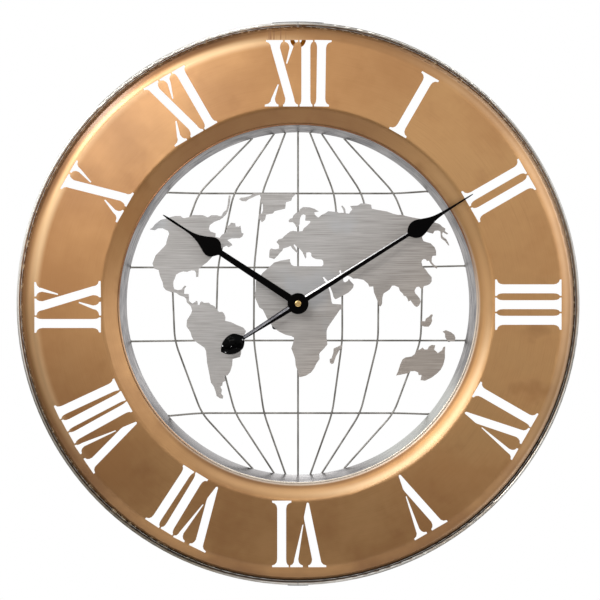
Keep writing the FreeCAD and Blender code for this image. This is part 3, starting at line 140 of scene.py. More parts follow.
def onTheDial(tree):
    # A point's place from the dial's centre, and its distance from the dial's axis
    spot = addNode(tree, "ShaderNodeTexCoord").outputs["Object"]
    moved = addNode(tree, "ShaderNodeVectorMath", {0: spot, 1: dialCentre}, operation="SUBTRACT").outputs[0]
    parts = addNode(tree, "ShaderNodeSeparateXYZ", {0: moved}).outputs
    flat = addNode(tree, "ShaderNodeCombineXYZ", {0: parts[0], 2: parts[2]}).outputs[0]
    radius = addNode(tree, "ShaderNodeVectorMath", {0: flat}, operation="LENGTH").outputs["Value"]
    return {"moved": moved, "x": parts[0], "y": parts[1], "z": parts[2], "flat": flat, "radius": radius}


def turnedLines(tree, place, along, across):
    # Changes slowly round the dial and fast across it, as the lines of a turned sheet do
    heading = addNode(tree, "ShaderNodeVectorMath", {0: place["flat"]}, operation="NORMALIZE").outputs[0]
    wide = addNode(tree, "ShaderNodeVectorMath", {0: heading, "Scale": along}, operation="SCALE").outputs[0]
    up = addNode(tree, "ShaderNodeCombineXYZ", {1: times(tree, place["radius"], across)}).outputs[0]
    return addNode(tree, "ShaderNodeVectorMath", {0: wide, 1: up}, operation="ADD").outputs[0]


def towards(tree, place, side):
    # 1 towards one clock direction, fading to 0 away from it
    degrees, start, full = side
    turn = math.radians(degrees)
    part = times(tree, place["z"], math.cos(turn))
    lean = maths(tree, "MULTIPLY_ADD", place["x"], math.sin(turn), part)
    return between(tree, maths(tree, "DIVIDE", lean, place["radius"]), start, full)


def ringBand(tree, place, middle, half):
    # 1 on one circle of the dial, fading to 0 on both sides of it
    away = maths(tree, "ABSOLUTE", maths(tree, "SUBTRACT", place["radius"], middle))
    return between(tree, away, 0.0, half, 1.0, 0.0)


def bumped(tree, shader, height, distance, strength=0.4):
    bump = addNode(tree, "ShaderNodeBump", {"Height": height, "Distance": distance, "Strength": strength})
    tree.links.new(bump.outputs[0], shader.inputs["Normal"])


# Finishes
# A side is a heading in degrees, clockwise from 12 o'clock, and the cosines of the angles to it
# at which a colour starts and is full. A reach is the two distances in metres between which a
# colour comes in, and a fade is two radii with the colour's strength at each where it isn't 0
# and 1. An edge is the part of a cloud over which one colour gives way to the next, and three
# numbers of a scale are the cloud's along x, y and z.

grooveReach = (0.2936, 0.2950)
# Circles of the painted highlights on the inner and outer bevels
innerGlow = {"middle": 0.2020, "half": 0.0085}
outerGlow = {"middle": 0.2862, "half": 0.0058}

copperLook = {
    "tones": {
        "light": paint(202, 155, 103), "mid": paint(186, 138, 89), "brown": paint(157, 109, 67),
        # A dark brown for painted shade, and two light tones for painted highlights
        "stainAndShade": paint(106, 71, 40), "glow": paint(232, 186, 134), "paleGlow": paint(220, 181, 141),
        # Light tones for painted highlights on the bevels, and a dark one for painted shade where they turn
        # away from the lamps
        "bend": paint(240, 204, 158), "paleHighlight": paint(255, 240, 214), "turned": paint(100, 66, 40),
        # A pale tone for a painted highlight on the inner edge, a light one for painted highlights on the rim
        # and in the groove, and a dark one for painted shade where the rim rolls over
        "edgeHighlight": paint(240, 228, 214), "rim": paint(238, 202, 166), "roll": paint(122, 84, 52),
        # The groove's brown, a darker brown for painted shade at its lower right, and its bright flecks
        "groove": paint(168, 124, 86), "grooveLow": paint(84, 60, 38), "speck": paint(255, 226, 184),
    },
    "metallic": 1.0, "roughness": 0.42, "smoother": 0.05, "rougher": 0.07, "roughEdge": (0.3, 0.7),
    "coat": 0.45, "coatRoughness": 0.22, "grime": 0.8, "grimeReach": (0.2908, 0.2928),
    "lineAlong": 7.0, "lineAcross": 1500.0, "lineDepth": 0.00006, "lineStrength": 0.35,
    "blotchScale": 9.0,
    "flat": {
        "blotchEdge": (0.36, 0.66), "patchScale": 26.0, "patchEdge": (0.56, 0.78), "patchShare": 0.5,
        # Painted shade: darker towards 12 o'clock, on the left, and towards the bottom, where the blotches
        # break it up
        "lineEdge": (0.45, 0.75), "lineShare": 0.22, "crownSide": (0.0, 0.75, 0.97), "crownShare": 0.3,
        "leftTilt": 0.3, "leftReach": (0.12, 0.26), "leftShare": 0.45,
        "lowTilt": -0.25, "lowReach": (0.02, 0.27), "lowShare": 0.62,
        "shadeBreakupEdge": (0.3, 0.6), "shadeBreakupLeast": 0.6,
    },
    "innerBevel": {
        # Painted shade at the top of the inner bevel, and painted highlights low, at the right and at the
        # lower right
        "darkTop": {"tone": "stainAndShade", "share": 0.38, "side": (355.0, 0.55, 0.95),
                    "fade": (0.207, 0.2105, 1.0, 0.0)},
        "lowGlow": {"tone": "glow", "share": 0.5, "side": (188.0, 0.86, 0.99), **innerGlow},
        "rightGlow": {"tone": "glow", "share": 0.5, "side": (70.0, 0.86, 0.99), **innerGlow},
        "lit": {"tone": "bend", "share": 0.54, "side": (135.0, 0.7, 0.95), "middle": 0.2052, "half": 0.0058},
        "paleHighlight": {"tone": "paleHighlight", "share": 0.1, "side": (135.0, 0.55, 0.95), "middle": 0.2040, "half": 0.0058},
    },
    "foot": {
        "middle": 0.1955, "half": 0.0040, "side": (160.0, 0.2, 0.55),
        "deepSide": (135.0, 0.75, 0.98), "least": 0.4, "most": 0.65,
    },
    "innerEdge": {
        # Painted highlight on the inner edge, towards the lower right
        "edgeHighlight": {"tone": "edgeHighlight", "share": 0.8, "side": (145.0, -0.2, 0.7),
                 "fade": (0.1925, 0.1955, 1.0, 0.0)},
    },
    "outerBevel": {
        # Painted highlights on the outer bevel, at the left and at the right
        "leftGlow": {"tone": "glow", "share": 0.5, "side": (280.0, 0.72, 0.96), **outerGlow},
        "rightGlow": {"tone": "paleGlow", "share": 0.5, "side": (78.0, 0.45, 0.95), **outerGlow},
    },
    "bend": {
        # Painted highlight on the bend of the outer bevel, at the upper left and the lower left
        "middle": 0.2812, "half": 0.0080,
        "upperSide": (314.0, 0.62, 0.86), "upperShare": 0.75,
        "lampSide": (315.0, 0.93, 0.99), "lampShare": 0.45,
        "lowerSide": (258.0, 0.88, 0.98), "lowerShare": 0.35,
    },
    "drips": {
        "scale": (700.0, 60.0, 18.0), "edge": (0.54, 0.62), "leftFade": (-0.038, -0.030),
        "rightFade": (-0.018, -0.008), "topFade": (0.2785, 0.2825),
    },
    # Painted shade where the rim rolls over towards the groove
    "roll": {"reach": (0.284, grooveReach[0]), "share": 0.4},
    "rim": {
        # Painted shade on the rim at the upper left, and a painted highlight on it at the right
        "turned": {"tone": "turned", "share": 0.8, "side": (320.0, 0.8, 0.95), "fade": (0.2832, 0.2895)},
        "light": {"tone": "rim", "share": 0.9, "side": (85.0, 0.3, 0.85), "fade": (0.2888, 0.2928)},
    },
    "groove": {
        # The groove turns to painted shade towards the lower right
        "reach": grooveReach, "lowSide": (160.0, -0.3, 0.8), "speckScale": (10.0, 0.35, 10.0),
        "speckEdge": (0.565, 0.605), "plainSide": (150.0, 0.35, 0.85),
    },
    "grooveHighlights": {
        # Painted highlights in the groove at the upper left and at the right
        "upper": {"tone": "rim", "share": 0.35, "side": (312.0, 0.93, 0.99), "fade": grooveReach},
        "right": {"tone": "rim", "share": 0.65, "side": (68.0, 0.94, 0.99), "fade": grooveReach},
    },
}


def copperMarks(tree, place, tone, marks):
    # Each mark is painted highlight or painted shade on one side of the dial, on one circle or where the
    # radius fades it in
    for mark in marks.values():
        if "middle" in mark:
            reach = ringBand(tree, place, mark["middle"], mark["half"])
        else:
            reach = between(tree, place["radius"], *mark["fade"])
        side = towards(tree, place, mark["side"])
        tone = overlaid(tree, tone, copperLook["tones"][mark["tone"]], reach, side, mark["share"])
    return tone


def copperFlat(tree, place, brush, blotch):
    look, tones = copperLook["flat"], copperLook["tones"]
    tone = mixed(tree, between(tree, blotch, *look["blotchEdge"]), tones["light"], tones["mid"])
    patch = cloud(tree, place["moved"], look["patchScale"], detail=3.0, rough=0.5)
    tone = overlaid(tree, tone, tones["brown"], between(tree, patch, *look["patchEdge"]), look["patchShare"])
    tone = overlaid(tree, tone, tones["brown"], between(tree, brush, *look["lineEdge"]), look["lineShare"])
    # Painted shade towards 12 o'clock, on the left, and towards the bottom, broken up by the blotches
    tone = overlaid(tree, tone, tones["brown"], towards(tree, place, look["crownSide"]), look["crownShare"])
    left = maths(tree, "SUBTRACT", times(tree, place["z"], look["leftTilt"]), place["x"])
    tone = overlaid(tree, tone, tones["brown"], between(tree, left, *look["leftReach"]), look["leftShare"])
    low = maths(tree, "SUBTRACT", times(tree, place["x"], look["lowTilt"]), place["z"])
    shadeBreakup = between(tree, blotch, *look["shadeBreakupEdge"], look["shadeBreakupLeast"], 1.0)
    return overlaid(tree, tone, tones["stainAndShade"], between(tree, low, *look["lowReach"]), shadeBreakup, look["lowShare"])


def bevelFoot(tree, place, tone):
    # Painted shade on the inner bevel's foot, which turns away from the lamps, most at the lower right
    look = copperLook["foot"]
    band = ringBand(tree, place, look["middle"], look["half"])
    share = between(tree, towards(tree, place, look["deepSide"]), 0.0, 1.0, look["least"], look["most"])
    side = towards(tree, place, look["side"])
    return overlaid(tree, tone, copperLook["tones"]["turned"], band, share, side)


def bendLight(tree, place, tone):
    # Painted highlight on the bend of the outer bevel. Under the lamp the bend is bright by itself, so it
    # gets less there
    look = copperLook["bend"]
    band = ringBand(tree, place, look["middle"], look["half"])
    lamp = between(tree, towards(tree, place, look["lampSide"]), 0.0, 1.0, 1.0, look["lampShare"])
    upper = times(tree, towards(tree, place, look["upperSide"]), look["upperShare"], lamp)
    lower = times(tree, towards(tree, place, look["lowerSide"]), look["lowerShare"])
    return overlaid(tree, tone, copperLook["tones"]["bend"], band, maths(tree, "MAXIMUM", upper, lower))


def dripsAtTheTop(tree, place, tone):
    # Short runs of another tone down the bevel, left of 12 o'clock
    look = copperLook["drips"]
    grain = cloud(tree, stretched(tree, place["moved"], look["scale"]), 1.0, detail=1.0, rough=0.5)
    window = times(tree, between(tree, place["x"], *look["leftFade"]),
                   between(tree, place["x"], *look["rightFade"], 1.0, 0.0),
                   between(tree, place["z"], *look["topFade"]))
    return overlaid(tree, tone, copperLook["tones"]["groove"], window, between(tree, grain, *look["edge"]))


def rimGroove(tree, place, tone, lines):
    # Painted shade at the lower right, painted highlights at two places, and flecked on the other sides
    look, tones = copperLook["groove"], copperLook["tones"]
    groove = between(tree, place["radius"], *look["reach"])
    colour = mixed(tree, towards(tree, place, look["lowSide"]), tones["groove"], tones["grooveLow"])
    tone = mixed(tree, groove, tone, colour)
    tone = copperMarks(tree, place, tone, copperLook["grooveHighlights"])
    grain = cloud(tree, stretched(tree, lines, look["speckScale"]), 1.0, detail=2.0, rough=0.5)
    rough = maths(tree, "SUBTRACT", 1.0, towards(tree, place, look["plainSide"]))
    return overlaid(tree, tone, tones["speck"], between(tree, grain, *look["speckEdge"]), rough, groove)


def copperSheet():
    look = copperLook
    finish, tree, shader = startFinish("brushedCopper", look["metallic"], look["roughness"])
    place = onTheDial(tree)
    lines = turnedLines(tree, place, look["lineAlong"], look["lineAcross"])
    brush = cloud(tree, lines, 1.0, detail=4.0, rough=0.6)
    blotch = cloud(tree, place["moved"], look["blotchScale"], detail=4.0, rough=0.6)
    tone = copperFlat(tree, place, brush, blotch)
    tone = copperMarks(tree, place, tone, look["innerBevel"])
    tone = bevelFoot(tree, place, tone)
    tone = copperMarks(tree, place, tone, look["innerEdge"])
    tone = copperMarks(tree, place, tone, look["outerBevel"])
    tone = bendLight(tree, place, tone)
    tone = dripsAtTheTop(tree, place, tone)
    # Painted shade where the rim rolls over towards the groove
    roll = between(tree, place["radius"], *look["roll"]["reach"], 0.0, look["roll"]["share"])
    tone = mixed(tree, roll, tone, look["tones"]["roll"])
    tone = copperMarks(tree, place, tone, look["rim"])
    tone = rimGroove(tree, place, tone, lines)
    tree.links.new(tone, shader.inputs["Base Color"])
    grime = between(tree, place["radius"], *look["grimeReach"], 0.0, look["grime"])
    tree.links.new(maths(tree, "SUBTRACT", 1.0, grime), shader.inputs["Metallic"])
    least, most = look["roughness"] - look["smoother"], look["roughness"] + look["rougher"]
    tree.links.new(between(tree, blotch, *look["roughEdge"], least, most), shader.inputs["Roughness"])
    shader.inputs["Coat Weight"].default_value = look["coat"]
    shader.inputs["Coat Roughness"].default_value = look["coatRoughness"]
    bumped(tree, shader, brush, look["lineDepth"], look["lineStrength"])
    return finish


stripLook = {
    "light": paint(206, 203, 197), "dark": paint(148, 141, 132), "roughness": 0.34,
    "lineScale": (9.0, 1100.0, 9.0), "lineEdge": (0.35, 0.7), "lineShare": 0.8,
    "lineDepth": 0.00005, "lineStrength": 0.3,
    "warm": paint(162, 138, 106), "warmScale": 14.0, "warmEdge": (0.5, 0.75), "warmShare": 0.45,
    # Painted shade at the lower left, and a painted highlight at the upper left
    "shade": paint(92, 84, 68), "shadeSide": (226.0, 0.8, 0.97), "shadeShare": 0.7,
    "stripHighlight": paint(255, 251, 243), "stripHighlightSide": (312.0, 0.5, 0.85), "stripHighlightShare": 0.85,
}


def stripSteel():
    look = stripLook
    finish, tree, shader = startFinish("rolledStripSteel", 1.0, look["roughness"])
    place = onTheDial(tree)
    streak = cloud(tree, stretched(tree, place["moved"], look["lineScale"]), 1.0, detail=3.0, rough=0.6)
    dark = between(tree, streak, *look["lineEdge"])
    tone = overlaid(tree, look["light"], look["dark"], dark, look["lineShare"])
    warm = between(tree, cloud(tree, place["moved"], look["warmScale"]), *look["warmEdge"])
    tone = overlaid(tree, tone, look["warm"], warm, look["warmShare"])
    # Painted shade at the lower left, then a painted highlight at the upper left
    tone = overlaid(tree, tone, look["shade"], towards(tree, place, look["shadeSide"]), look["shadeShare"])
    tone = overlaid(tree, tone, look["stripHighlight"], towards(tree, place, look["stripHighlightSide"]), look["stripHighlightShare"])
    tree.links.new(tone, shader.inputs["Base Color"])
    bumped(tree, shader, streak, look["lineDepth"], look["lineStrength"])
    return finish


bandLook = {
    "light": paint(184, 181, 180), "dark": paint(118, 117, 120), "roughness": 0.36,
    "lineAlong": 9.0, "lineScale": (0.0, 1300.0, 0.0), "lineEdge": (0.36, 0.68),
    "lineDepth": 0.00005, "lineStrength": 0.35,
    "burn": paint(64, 60, 58), "burnReach": 0.012, "burnCore": 0.2, "burnShare": 0.75,
    # Painted shade at the lower left, and a painted highlight at the lower right
    "shade": paint(92, 90, 90), "shadeSide": (210.0, 0.82, 0.97), "shadeShare": 0.95,
    "bright": paint(226, 228, 222), "brightSide": (135.0, 0.9, 0.99), "brightShare": 0.6,
    # The lip's brown, with painted highlights towards the lower right and the lower left
    "lip": paint(140, 100, 72), "lipDepth": 0.0008, "lipHighlight": paint(250, 236, 218),
    "lipHighlightSide": (150.0, 0.1, 0.7),
    "lipLeft": paint(236, 194, 156), "leftSide": (241.0, 0.8, 0.96), "leftShare": 0.8,
}


def bandSteel():
    look = bandLook
    finish, tree, shader = startFinish("brushedBandSteel", 1.0, look["roughness"])
    place = onTheDial(tree)
    lines = turnedLines(tree, place, look["lineAlong"], 0.0)
    depth = stretched(tree, place["moved"], look["lineScale"])
    brushed = addNode(tree, "ShaderNodeVectorMath", {0: lines, 1: depth}, operation="ADD").outputs[0]
    streak = cloud(tree, brushed, 1.0, detail=4.0, rough=0.65)
    tone = mixed(tree, between(tree, streak, *look["lineEdge"]), look["light"], look["dark"])
    wireLow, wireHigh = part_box("parallel_wire_3")
    weldSpot = Vector((wireHigh.x, (wireLow.y + wireHigh.y) / 2, (wireLow.z + wireHigh.z) / 2)) - dialCentre
    away = addNode(tree, "ShaderNodeVectorMath", {0: place["moved"], 1: weldSpot}, operation="DISTANCE")
    burn = between(tree, away.outputs["Value"], look["burnReach"] * look["burnCore"], look["burnReach"],
                   look["burnShare"], 0.0)
    tone = mixed(tree, burn, tone, look["burn"])
    # Painted shade at the lower left, and a painted highlight at the lower right
    tone = overlaid(tree, tone, look["shade"], towards(tree, place, look["shadeSide"]), look["shadeShare"])
    tone = overlaid(tree, tone, look["bright"], towards(tree, place, look["brightSide"]), look["brightShare"])
    # The lip's brown, with painted highlights towards the lower right and the lower left
    lipWithHighlights = mixed(tree, towards(tree, place, look["lipHighlightSide"]), look["lip"], look["lipHighlight"])
    left = towards(tree, place, look["leftSide"])
    lipWithHighlights = overlaid(tree, lipWithHighlights, look["lipLeft"], left, look["leftShare"])
    lip = between(tree, place["y"], bandLow.y, bandLow.y + look["lipDepth"], 1.0, 0.0)
    tone = mixed(tree, lip, tone, lipWithHighlights)
    tree.links.new(tone, shader.inputs["Base Color"])
    bumped(tree, shader, streak, look["lineDepth"], look["lineStrength"])
    return finish


mapLook = {
    "light": paint(190, 187, 185), "mid": paint(158, 154, 151), "metallic": 0.55, "roughness": 0.5,
    "lineScale": (22.0, 1.0, 1500.0), "lineEdge": (0.38, 0.66), "lineDepth": 0.00005, "lineStrength": 0.35,
    "bandScale": (10.0, 1.0, 420.0), "bandEdge": (0.45, 0.75), "bandShare": 0.4,
    "stainScale": 16.0, "stainEdge": (0.5, 0.75), "stainShare": 0.4,
    "warmLight": paint(176, 164, 153), "warmMid": paint(138, 127, 117), "warmReach": (-0.06, 0.2),
    "warmShare": 0.8,
    "cool": paint(182, 186, 191), "coolScale": 11.0, "coolShift": (3.0, 0.0, 7.0), "coolEdge": (0.5, 0.66),
    "coolShare": 0.5, "lessWhereWarm": 0.5,
}


def mapSteel():
    # Cooler at the upper left, warmer towards the lower right
    look = mapLook
    finish, tree, shader = startFinish("brushedMapSteel", look["metallic"], look["roughness"])
    place = onTheDial(tree)
    moved = place["moved"]
    streak = cloud(tree, stretched(tree, moved, look["lineScale"]), 1.0, detail=4.0, rough=0.6)
    band = cloud(tree, stretched(tree, moved, look["bandScale"]), 1.0, detail=3.0, rough=0.5)
    stainAndShade = cloud(tree, moved, look["stainScale"], detail=3.0, rough=0.6)
    lowRight = maths(tree, "SUBTRACT", place["x"], place["z"])
    warm = between(tree, lowRight, *look["warmReach"], 0.0, look["warmShare"])
    light = mixed(tree, warm, look["light"], look["warmLight"])
    mid = mixed(tree, warm, look["mid"], look["warmMid"])
    tone = mixed(tree, between(tree, streak, *look["lineEdge"]), light, mid)
    tone = overlaid(tree, tone, mid, between(tree, band, *look["bandEdge"]), look["bandShare"])
    tone = overlaid(tree, tone, mid, between(tree, stainAndShade, *look["stainEdge"]), look["stainShare"])
    shifted = addNode(tree, "ShaderNodeVectorMath", {0: moved, 1: look["coolShift"]}, operation="ADD")
    cool = cloud(tree, shifted.outputs[0], look["coolScale"])
    cool = between(tree, cool, *look["coolEdge"], 0.0, look["coolShare"])
    cool = maths(tree, "SUBTRACT", cool, times(tree, warm, look["lessWhereWarm"]), clamp=True)
    tone = mixed(tree, cool, tone, look["cool"])
    tree.links.new(tone, shader.inputs["Base Color"])
    bumped(tree, shader, streak, look["lineDepth"], look["lineStrength"])
    return finish


wireLook = {"light": paint(150, 147, 142), "dark": paint(112, 109, 104), "metallic": 0.85, "roughness": 0.42,
            "grain": 60.0, "grainEdge": (0.35, 0.7)}


def steelWire():
    look = wireLook
    finish, tree, shader = startFinish("drawnSteelWire", look["metallic"], look["roughness"])
    grain = cloud(tree, onTheDial(tree)["moved"], look["grain"])
    tone = mixed(tree, between(tree, grain, *look["grainEdge"]), look["light"], look["dark"])
    tree.links.new(tone, shader.inputs["Base Color"])
    return finish


# White specks are painted glints on the black enamel
enamelLook = {"paint": paint(3, 3, 3), "chip": paint(250, 250, 250), "roughness": 0.07, "gleam": 0.05,
              "dimples": 330.0, "dimpleDepth": 0.0007, "dimpleStrength": 0.6,
              "chips": 250.0, "chipEdge": (0.64, 0.67)}


def hammeredEnamel():
    look = enamelLook
    finish, tree, shader = startFinish("blackHammeredEnamel", 0.0, look["roughness"])
    spot = addNode(tree, "ShaderNodeTexCoord").outputs["Object"]
    dimples = addNode(tree, "ShaderNodeTexVoronoi", {"Vector": spot, "Scale": look["dimples"]},
                      feature="SMOOTH_F1")
    # Painted glints: white specks where the cloud is high
    chip = between(tree, cloud(tree, spot, look["chips"], detail=3.0, rough=0.5), *look["chipEdge"])
    tree.links.new(mixed(tree, chip, look["paint"], look["chip"]), shader.inputs["Base Color"])
    shader.inputs["Specular IOR Level"].default_value = look["gleam"]
    bumped(tree, shader, dimples.outputs["Distance"], look["dimpleDepth"], look["dimpleStrength"])
    return finish


fleckEdge = (0.35, 0.7)


def flecked(name, light, dark, metallic, roughness, grain, coat=0.0, bump=0.0, gleam=0.5):
    finish, tree, shader = startFinish(name, metallic, roughness)
    spot = addNode(tree, "ShaderNodeTexCoord").outputs["Object"]
    fleck = cloud(tree, spot, grain, detail=4.0, rough=0.6)
    tone = mixed(tree, between(tree, fleck, *fleckEdge), light, dark)
    tree.links.new(tone, shader.inputs["Base Color"])
    shader.inputs["Coat Weight"].default_value = coat
    shader.inputs["Specular IOR Level"].default_value = gleam
    if bump:
        bumped(tree, shader, fleck, bump)
    return finish


plainLooks = {
    "hanger_brass": {"name": "yellowZincSteel", "light": paint(214, 160, 62), "dark": paint(176, 120, 40),
                     "metallic": 1.0, "roughness": 0.3, "grain": 160.0},
    "black_hands": {"name": "blackHandLacquer", "light": paint(3, 2, 2), "dark": paint(2, 2, 2),
                    "metallic": 0.0, "roughness": 0.45, "grain": 300.0, "gleam": 0.03},
    "brass": {"name": "turnedBrass", "light": paint(232, 200, 140), "dark": paint(212, 172, 104),
              "metallic": 1.0, "roughness": 0.24, "grain": 300.0},
    "shaft_steel": {"name": "brightShaftSteel", "light": paint(190, 190, 192), "dark": paint(160, 160, 164),
                    "metallic": 1.0, "roughness": 0.25, "grain": 300.0},
    "case_plastic": {"name": "blackCasePlastic", "light": paint(30, 30, 32), "dark": paint(22, 22, 24),
                     "metallic": 0.0, "roughness": 0.5, "grain": 900.0, "bump": 0.00004},
    "gear_plastic": {"name": "creamGearPlastic", "light": paint(236, 232, 220), "dark": paint(222, 216, 200),
                     "metallic": 0.0, "roughness": 0.42, "grain": 80.0},
    "bobbin_plastic": {"name": "redBobbinPlastic", "light": paint(150, 40, 34), "dark": paint(132, 32, 28),
                       "metallic": 0.0, "roughness": 0.45, "grain": 80.0},
    "magnet": {"name": "sinteredMagnet", "light": paint(70, 70, 72), "dark": paint(52, 52, 54),
               "metallic": 0.5, "roughness": 0.5, "grain": 400.0},
    "core_iron": {"name": "softIronSheet", "light": paint(150, 150, 152), "dark": paint(124, 124, 128),
                  "metallic": 1.0, "roughness": 0.35, "grain": 200.0},
    "coil_wire": {"name": "enamelledCopperWire", "light": paint(196, 106, 52), "dark": paint(160, 78, 36),
                  "metallic": 1.0, "roughness": 0.3, "grain": 200.0},
    "board": {"name": "greenBoardLacquer", "light": paint(30, 92, 52), "dark": paint(22, 76, 42),
              "metallic": 0.0, "roughness": 0.38, "grain": 200.0, "coat": 0.3},
    "chip_resin": {"name": "blackChipResin", "light": paint(18, 18, 18), "dark": paint(12, 12, 12),
                   "metallic": 0.0, "roughness": 0.3, "grain": 300.0},
    "can_metal": {"name": "tinnedCan", "light": paint(200, 200, 204), "dark": paint(176, 176, 182),
                  "metallic": 1.0, "roughness": 0.22, "grain": 300.0},
    "cell_jacket": {"name": "cellJacket", "light": paint(58, 78, 118), "dark": paint(48, 66, 104),
                    "metallic": 0.0, "roughness": 0.32, "grain": 60.0, "coat": 0.4},
    "soft_rubber": {"name": "blackRubber", "light": paint(24, 24, 24), "dark": paint(16, 16, 16),
                    "metallic": 0.0, "roughness": 0.75, "grain": 500.0},
}
strapLook = {"name": "dulledStrapSteel", "light": paint(84, 84, 92), "dark": paint(48, 48, 56),
             "metallic": 1.0, "roughness": 0.38, "grain": 45.0}

print("making finishes")
finishes = {
    "copper_sheet": copperSheet(),
    "strip_steel": stripSteel(),
    "grey_steel": bandSteel(),
    "map_steel": mapSteel(),
    "steel_wire": steelWire(),
    "black_gloss": hammeredEnamel(),
}
for slot, look in plainLooks.items():
    finishes[slot] = flecked(**look)
slotOf = {row["node"]: row["material_slot"] for row in frame["record"]["subparts"]}
for node, cadObject in frame["nodes"].items():
    cadObject.data.materials.clear()
    cadObject.data.materials.append(finishes[slotOf[node]])
strapFinish = flecked(**strapLook)
for node in ("top_joint_strap", "bottom_joint_strap"):
    frame["nodes"][node].data.materials[0] = strapFinish


# Pieces with their edges eased

easedLook = {
    "widths": {"hanger_bracket": 0.0003, "movement_case": 0.0004, "movement_cover": 0.0003,
               "setting_knob": 0.0002, "bush_nut": 0.0003},
    "ringWidth": 0.00022, "segments": 2, "mergeWithin": 0.000004,
    "flatWithin": 0.6, "easedOver": 35.0, "crispOver": 50.0, "largeFaceWeight": 95,
}


def easedCopy(node, width):
    look = easedLook
    work = bmesh.new()
    work.from_mesh(frame["nodes"][node].data)
    bmesh.ops.remove_doubles(work, verts=work.verts, dist=look["mergeWithin"])
    bmesh.ops.dissolve_limit(work, angle_limit=math.radians(look["flatWithin"]), verts=work.verts,
                             edges=work.edges)
    sharp = [edge for edge in work.edges if len(edge.link_faces) == 2
             and edge.calc_face_angle(0.0) > math.radians(look["easedOver"])]
    bmesh.ops.bevel(work, geom=sharp, offset=width, segments=look["segments"], affect="EDGES", profile=0.5,
                    clamp_overlap=True)
    bmesh.ops.triangulate(work, faces=[face for face in work.faces if len(face.verts) > 4])
    mesh = bpy.data.meshes.new(node + "Eased")
    work.to_mesh(mesh)
    work.free()
    mesh.validate()
    mesh.materials.append(finishes[slotOf[node]])
    mesh.shade_smooth()
    mesh.set_sharp_from_angle(angle=math.radians(look["crispOver"]))
    piece = bpy.data.objects.new(node + "Eased", mesh)
    bpy.context.scene.collection.objects.link(piece)
    return piece


bodyOf = {node: body for body, nodes in frame["record"]["behaviour"]["bodies"].items() for node in nodes}


def dress(piece, *nodes):
    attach(piece, bodyOf[nodes[0]])
    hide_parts(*nodes)


def flattened(piece):
    # Large faces set the normals, so the sheet's flat doesn't shade like a cushion
    modifier = piece.modifiers.new("largeFacesLead", "WEIGHTED_NORMAL")
    modifier.keep_sharp = True
    modifier.mode = "FACE_AREA"
    modifier.weight = easedLook["largeFaceWeight"]
    evaluated = piece.evaluated_get(bpy.context.evaluated_depsgraph_get())
    mesh = bpy.data.meshes.new_from_object(evaluated)
    piece.modifiers.clear()
    piece.data = mesh
    return piece


print("easing edges")
for node, width in easedLook["widths"].items():
    dress(easedCopy(node, width), node)
dress(flattened(easedCopy("dial_ring", easedLook["ringWidth"])), "dial_ring")


# Polished bevels along the minute hand
# Reaches are metres along the hand, and near and far are shares of its half width, at the root
# and at the end.

bevelLook = {
    "arm": {"name": "minuteArmBevel", "start": 0.0106, "end": 0.1385,
            "halfStart": 0.0033, "halfEnd": 0.00198,
            "near": (0.97, 0.97), "far": (0.46, 0.66), "rise": 0.00026,
            "light": paint(212, 212, 212), "dark": paint(160, 160, 162), "roughness": 0.22, "grain": 60.0},
    "tail": {"name": "minuteTailBevel", "start": -0.0106, "end": -0.0676,
             "halfStart": 0.0037, "halfEnd": 0.0020,
             "near": (0.72, 0.80), "far": (0.10, -0.40), "rise": 0.00022,
             "light": paint(142, 142, 147), "dark": paint(88, 86, 90), "roughness": 0.22, "grain": 60.0},
}
handLow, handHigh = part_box("minute_hand")
armTip = Vector((handHigh.x, wallPlane, handHigh.z)) - dialCentre
armWay = armTip.normalized()
armSide = Vector((-armWay.z, 0.0, armWay.x))  # towards the upper left of the dial


def handBevel(look):
    corners = []
    for end, reach, half in ((0, look["start"], look["halfStart"]), (1, look["end"], look["halfEnd"])):
        near, far = look["near"][end], look["far"][end]
        for side, rise in ((near, 0.0), (far, 0.0), (far, look["rise"])):
            spot = dialCentre + armWay * reach + armSide * (half * side)
            spot.y = handLow.y - rise * half / look["halfStart"]
            corners.append(spot)
    faces = [(0, 1, 2), (3, 5, 4), (0, 3, 4, 1), (1, 4, 5, 2), (0, 2, 5, 3)]
    mesh = bpy.data.meshes.new(look["name"])
    mesh.from_pydata(corners, [], faces)
    work = bmesh.new()
    work.from_mesh(mesh)
    bmesh.ops.recalc_face_normals(work, faces=work.faces)
    work.to_mesh(mesh)
    work.free()
    finish = flecked(look["name"] + "Steel", look["light"], look["dark"], metallic=1.0,
                     roughness=look["roughness"], grain=look["grain"])
    mesh.materials.append(finish)
    piece = bpy.data.objects.new(look["name"], mesh)
    bpy.context.scene.collection.objects.link(piece)
    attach(piece, bodyOf["minute_hand"])


print("bevelling the minute hand")
for look in bevelLook.values():
    handBevel(look)


# Shapes grown with Geometry Nodes

joinWithin = 1e-7


def startShape(name, sizes):
    # A tree with one named input for each size, whole numbers as integers
    tree = bpy.data.node_groups.new(name, "GeometryNodeTree")
    tree.interface.new_socket(name="Geometry", in_out="INPUT", socket_type="NodeSocketGeometry")
    for label, value in sizes.items():
        kind = "NodeSocketInt" if isinstance(value, int) else "NodeSocketFloat"
        tree.interface.new_socket(name=label, in_out="INPUT", socket_type=kind)
    tree.interface.new_socket(name="Material", in_out="INPUT", socket_type="NodeSocketMaterial")
    tree.interface.new_socket(name="Geometry", in_out="OUTPUT", socket_type="NodeSocketGeometry")
    return tree, tree.nodes.new("NodeGroupInput").outputs


def endShape(tree, given, geometry):
    real = addNode(tree, "GeometryNodeRealizeInstances", {"Geometry": geometry}).outputs[0]
    dressed = addNode(tree, "GeometryNodeSetMaterial", {"Geometry": real, "Material": given["Material"]})
    tree.links.new(dressed.outputs[0], tree.nodes.new("NodeGroupOutput").inputs[0])


